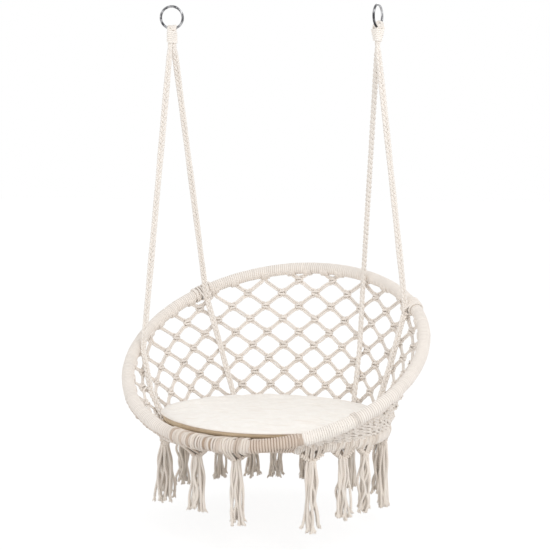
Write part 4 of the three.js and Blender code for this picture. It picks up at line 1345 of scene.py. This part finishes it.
def dress_cushion(mesh):
    """A flatter crown, a fuller front side, a pinched seam, and creases in the cover."""
    points = np.empty(3 * len(mesh.vertices))
    mesh.vertices.foreach_get("co", points)
    local = LOWER.seen(points.reshape(-1, 3) / MM)
    across = np.hypot(local[:, 0], local[:, 1])
    around = np.arctan2(local[:, 1], local[:, 0])
    sector = ((around / TURN % 1) * RIM_SECTORS).astype(int) % RIM_SECTORS
    reach = np.zeros(RIM_SECTORS)
    np.maximum.at(reach, sector, across)
    calm = np.convolve(reach[np.arange(-2, RIM_SECTORS + 3) % RIM_SECTORS], np.ones(5) / 5, "valid")
    rim = np.interp(around / TURN % 1 * RIM_SECTORS - 0.5, np.arange(RIM_SECTORS + 1), calm)
    height = local[:, 2]
    height = height - np.maximum(height - SEAM_HEIGHT, 0) * 0.42
    # The front side stands up more steeply.
    front = np.clip((-local[:, 1] / rim - 0.05) / 0.3, 0, 1)
    down = np.clip((SEAM_HEIGHT - height) / 17, 0, 1.3)
    wanted = rim * (1 - 0.02 * down**2)
    near = np.clip((across - wanted + 30) / 20, 0, 1)
    across = across + front * near * np.maximum(wanted - across, 0) * (height < SEAM_HEIGHT)
    # The seam.
    pinch = np.exp(-(((height - SEAM_HEIGHT) / 3.0) ** 2)) * (across > rim - 12)
    across = across + 1.6 * pinch
    flat = np.stack([across * np.cos(around), across * np.sin(around)], -1)
    share = across / rim
    upper = np.clip((height - SEAM_HEIGHT + 1) / 3, 0, 1)
    creases = np.array([crease_height(x, y, around[i], share[i]) for i, (x, y) in enumerate(flat)])
    height = height + (creases + fold_height(flat)) * upper * np.clip((1 - share) * 9, 0, 1)
    # The left end stands up a little and comes to a blunt point, and the front edge droops.
    height = height + edge_shift(flat) * np.clip((height - SEAM_HEIGHT + 19) / 19, 0, 1)
    turned = np.abs((around - TIP_ANGLE + math.pi) % TURN - math.pi)
    flat *= (1 + 0.017 * np.exp(-((turned / 0.3) ** 2)) * share**4)[:, None]
    placed = LOWER.placed(np.column_stack([flat, height]))
    mesh.vertices.foreach_set("co", (placed * MM).ravel())
    mesh.update()


def add_cushion():
    piece = cushion_shape()
    smooth = piece.modifiers.new("smooth", "SMOOTH")
    smooth.iterations = 4
    smooth.factor = 0.5
    divide = piece.modifiers.new("divide", "SUBSURF")
    divide.levels = divide.render_levels = 1
    settled(piece)
    dress_cushion(piece.data)
    piece.data.polygons.foreach_set("use_smooth", [True] * len(piece.data.polygons))
    piece.data.materials.append(CANVAS)
    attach(piece, "cushion")
    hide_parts("seat_cushion")
    add_piping(piece)


def add_piping(piece):
    """A cord along the seam, laid where rays from outside meet the cover."""
    cover = piece.data
    tree = BVHTree.FromPolygons([v.co for v in cover.vertices], [p.vertices for p in cover.polygons])
    points = []
    for k in range(360):
        angle = k / 360 * TURN
        away = np.array([math.cos(angle), math.sin(angle), 0])
        level = SEAM_HEIGHT + edge_shift(away[:2] * CUSHION_RADIUS)
        start = LOWER.centre + LOWER.turn @ (away * 400 + np.array([0, 0, level]))
        hit, _, _, _ = tree.ray_cast(Vector(start * MM), Vector(-LOWER.turn @ away))
        if hit is not None:
            points.append(LOWER.seen(np.array(hit) / MM) + away * 0.8)
    points = np.array(points)
    reach = np.hypot(points[:, 0], points[:, 1])
    calm = np.convolve(np.concatenate([reach[-3:], reach, reach[:3]]), np.ones(7) / 7, "valid")
    points[:, :2] *= (calm / reach)[:, None]
    work = Work()
    work.even_ring(LOWER.placed(points), 3.0, PIPING_RADIUS, 0)
    work.make("seat_cushion_seam_piping", WRAP, "cushion_cover", body="cushion")


# Studio: a pale floor, a white surround and soft lamps.
def add_mix(graph, share, output, lit, kind, strength):
    """Shows a plain white glow instead of a lit surface to what looks straight at it."""
    glow = graph.add(kind, {"Color": (1, 1, 1, 1), "Strength": strength})
    rays = graph.add("LightPath", {}).node.outputs
    seen = graph.calc("MAXIMUM", rays["Is Camera Ray"], rays["Is Glossy Ray"])
    seen = graph.calc("MAXIMUM", seen, rays["Is Transmission Ray"])
    mixed = graph.add("MixShader", {0: graph.calc("MULTIPLY", seen, share), 1: lit, 2: glow})
    graph.feed(graph.tree.nodes[output].inputs["Surface"], mixed)


def add_studio():
    scene.world = bpy.data.worlds.new("studio")
    graph = Graph(scene.world)
    light = graph.tree.nodes["Background"]
    graph.feed(light.inputs["Color"], (1, 1, 1, 1))
    graph.feed(light.inputs["Strength"], 0.77)
    add_mix(graph, 1.0, "World Output", light.outputs[0], "Background", 1.0)

    material, graph, _ = start_material("floor_pale")
    lit = graph.surface({"Base Color": (0.9, 0.9, 0.9, 1), "Roughness": 0.95, "Specular IOR Level": 0.0})
    add_mix(graph, 0.8, "Material Output", lit, "Emission", 1.09)
    mesh = bpy.data.meshes.new("floor")
    size, height = 14.0, -1.3
    corners = [(x * size, y * size, height) for x, y in ((-1, -1), (1, -1), (1, 1), (-1, 1))]
    mesh.from_pydata(corners, [], [(0, 1, 2, 3)])
    mesh.materials.append(material)
    add_object("floor", mesh)

    for name, place, size, power in (
        ("key", (1.9, -2.5, 1.5), 2.0, 42),
        ("fill", (-2.6, -2.4, -0.6), 2.4, 17),
        ("rim", (0.9, 2.6, 1.4), 2.0, 16),
    ):
        data = bpy.data.lights.new(name, "AREA")
        data.size = size
        data.energy = power
        aim(add_object(name, data), place, Vector((0, 0, -0.9)) - Vector(place))


for side in SIDES:
    add_ring(side)
    add_rope(side)
    add_whipping(side)
add_hoop_wrap("upper_hoop", UPPER, 4)
add_hoop_wrap("lower_hoop", LOWER, 5)
for name in ("upper_hoop_rod", "lower_hoop_rod"):
    for slot in nodes[name].material_slots:
        slot.material = ROD_STEEL
add_binding()
ends = add_net()
add_upper_ties(ends)
add_lower_ties(ends)
add_front_macrame()
add_front_hitches()
add_rope_ties()
add_thin_band()
add_front_winding()
add_outer_bumps()
add_seat_net()
for number, tassel in enumerate(TASSELS, 1):
    add_tassel(number, *tassel)
add_cushion()
add_studio()

scene.view_settings.view_transform = "Standard"
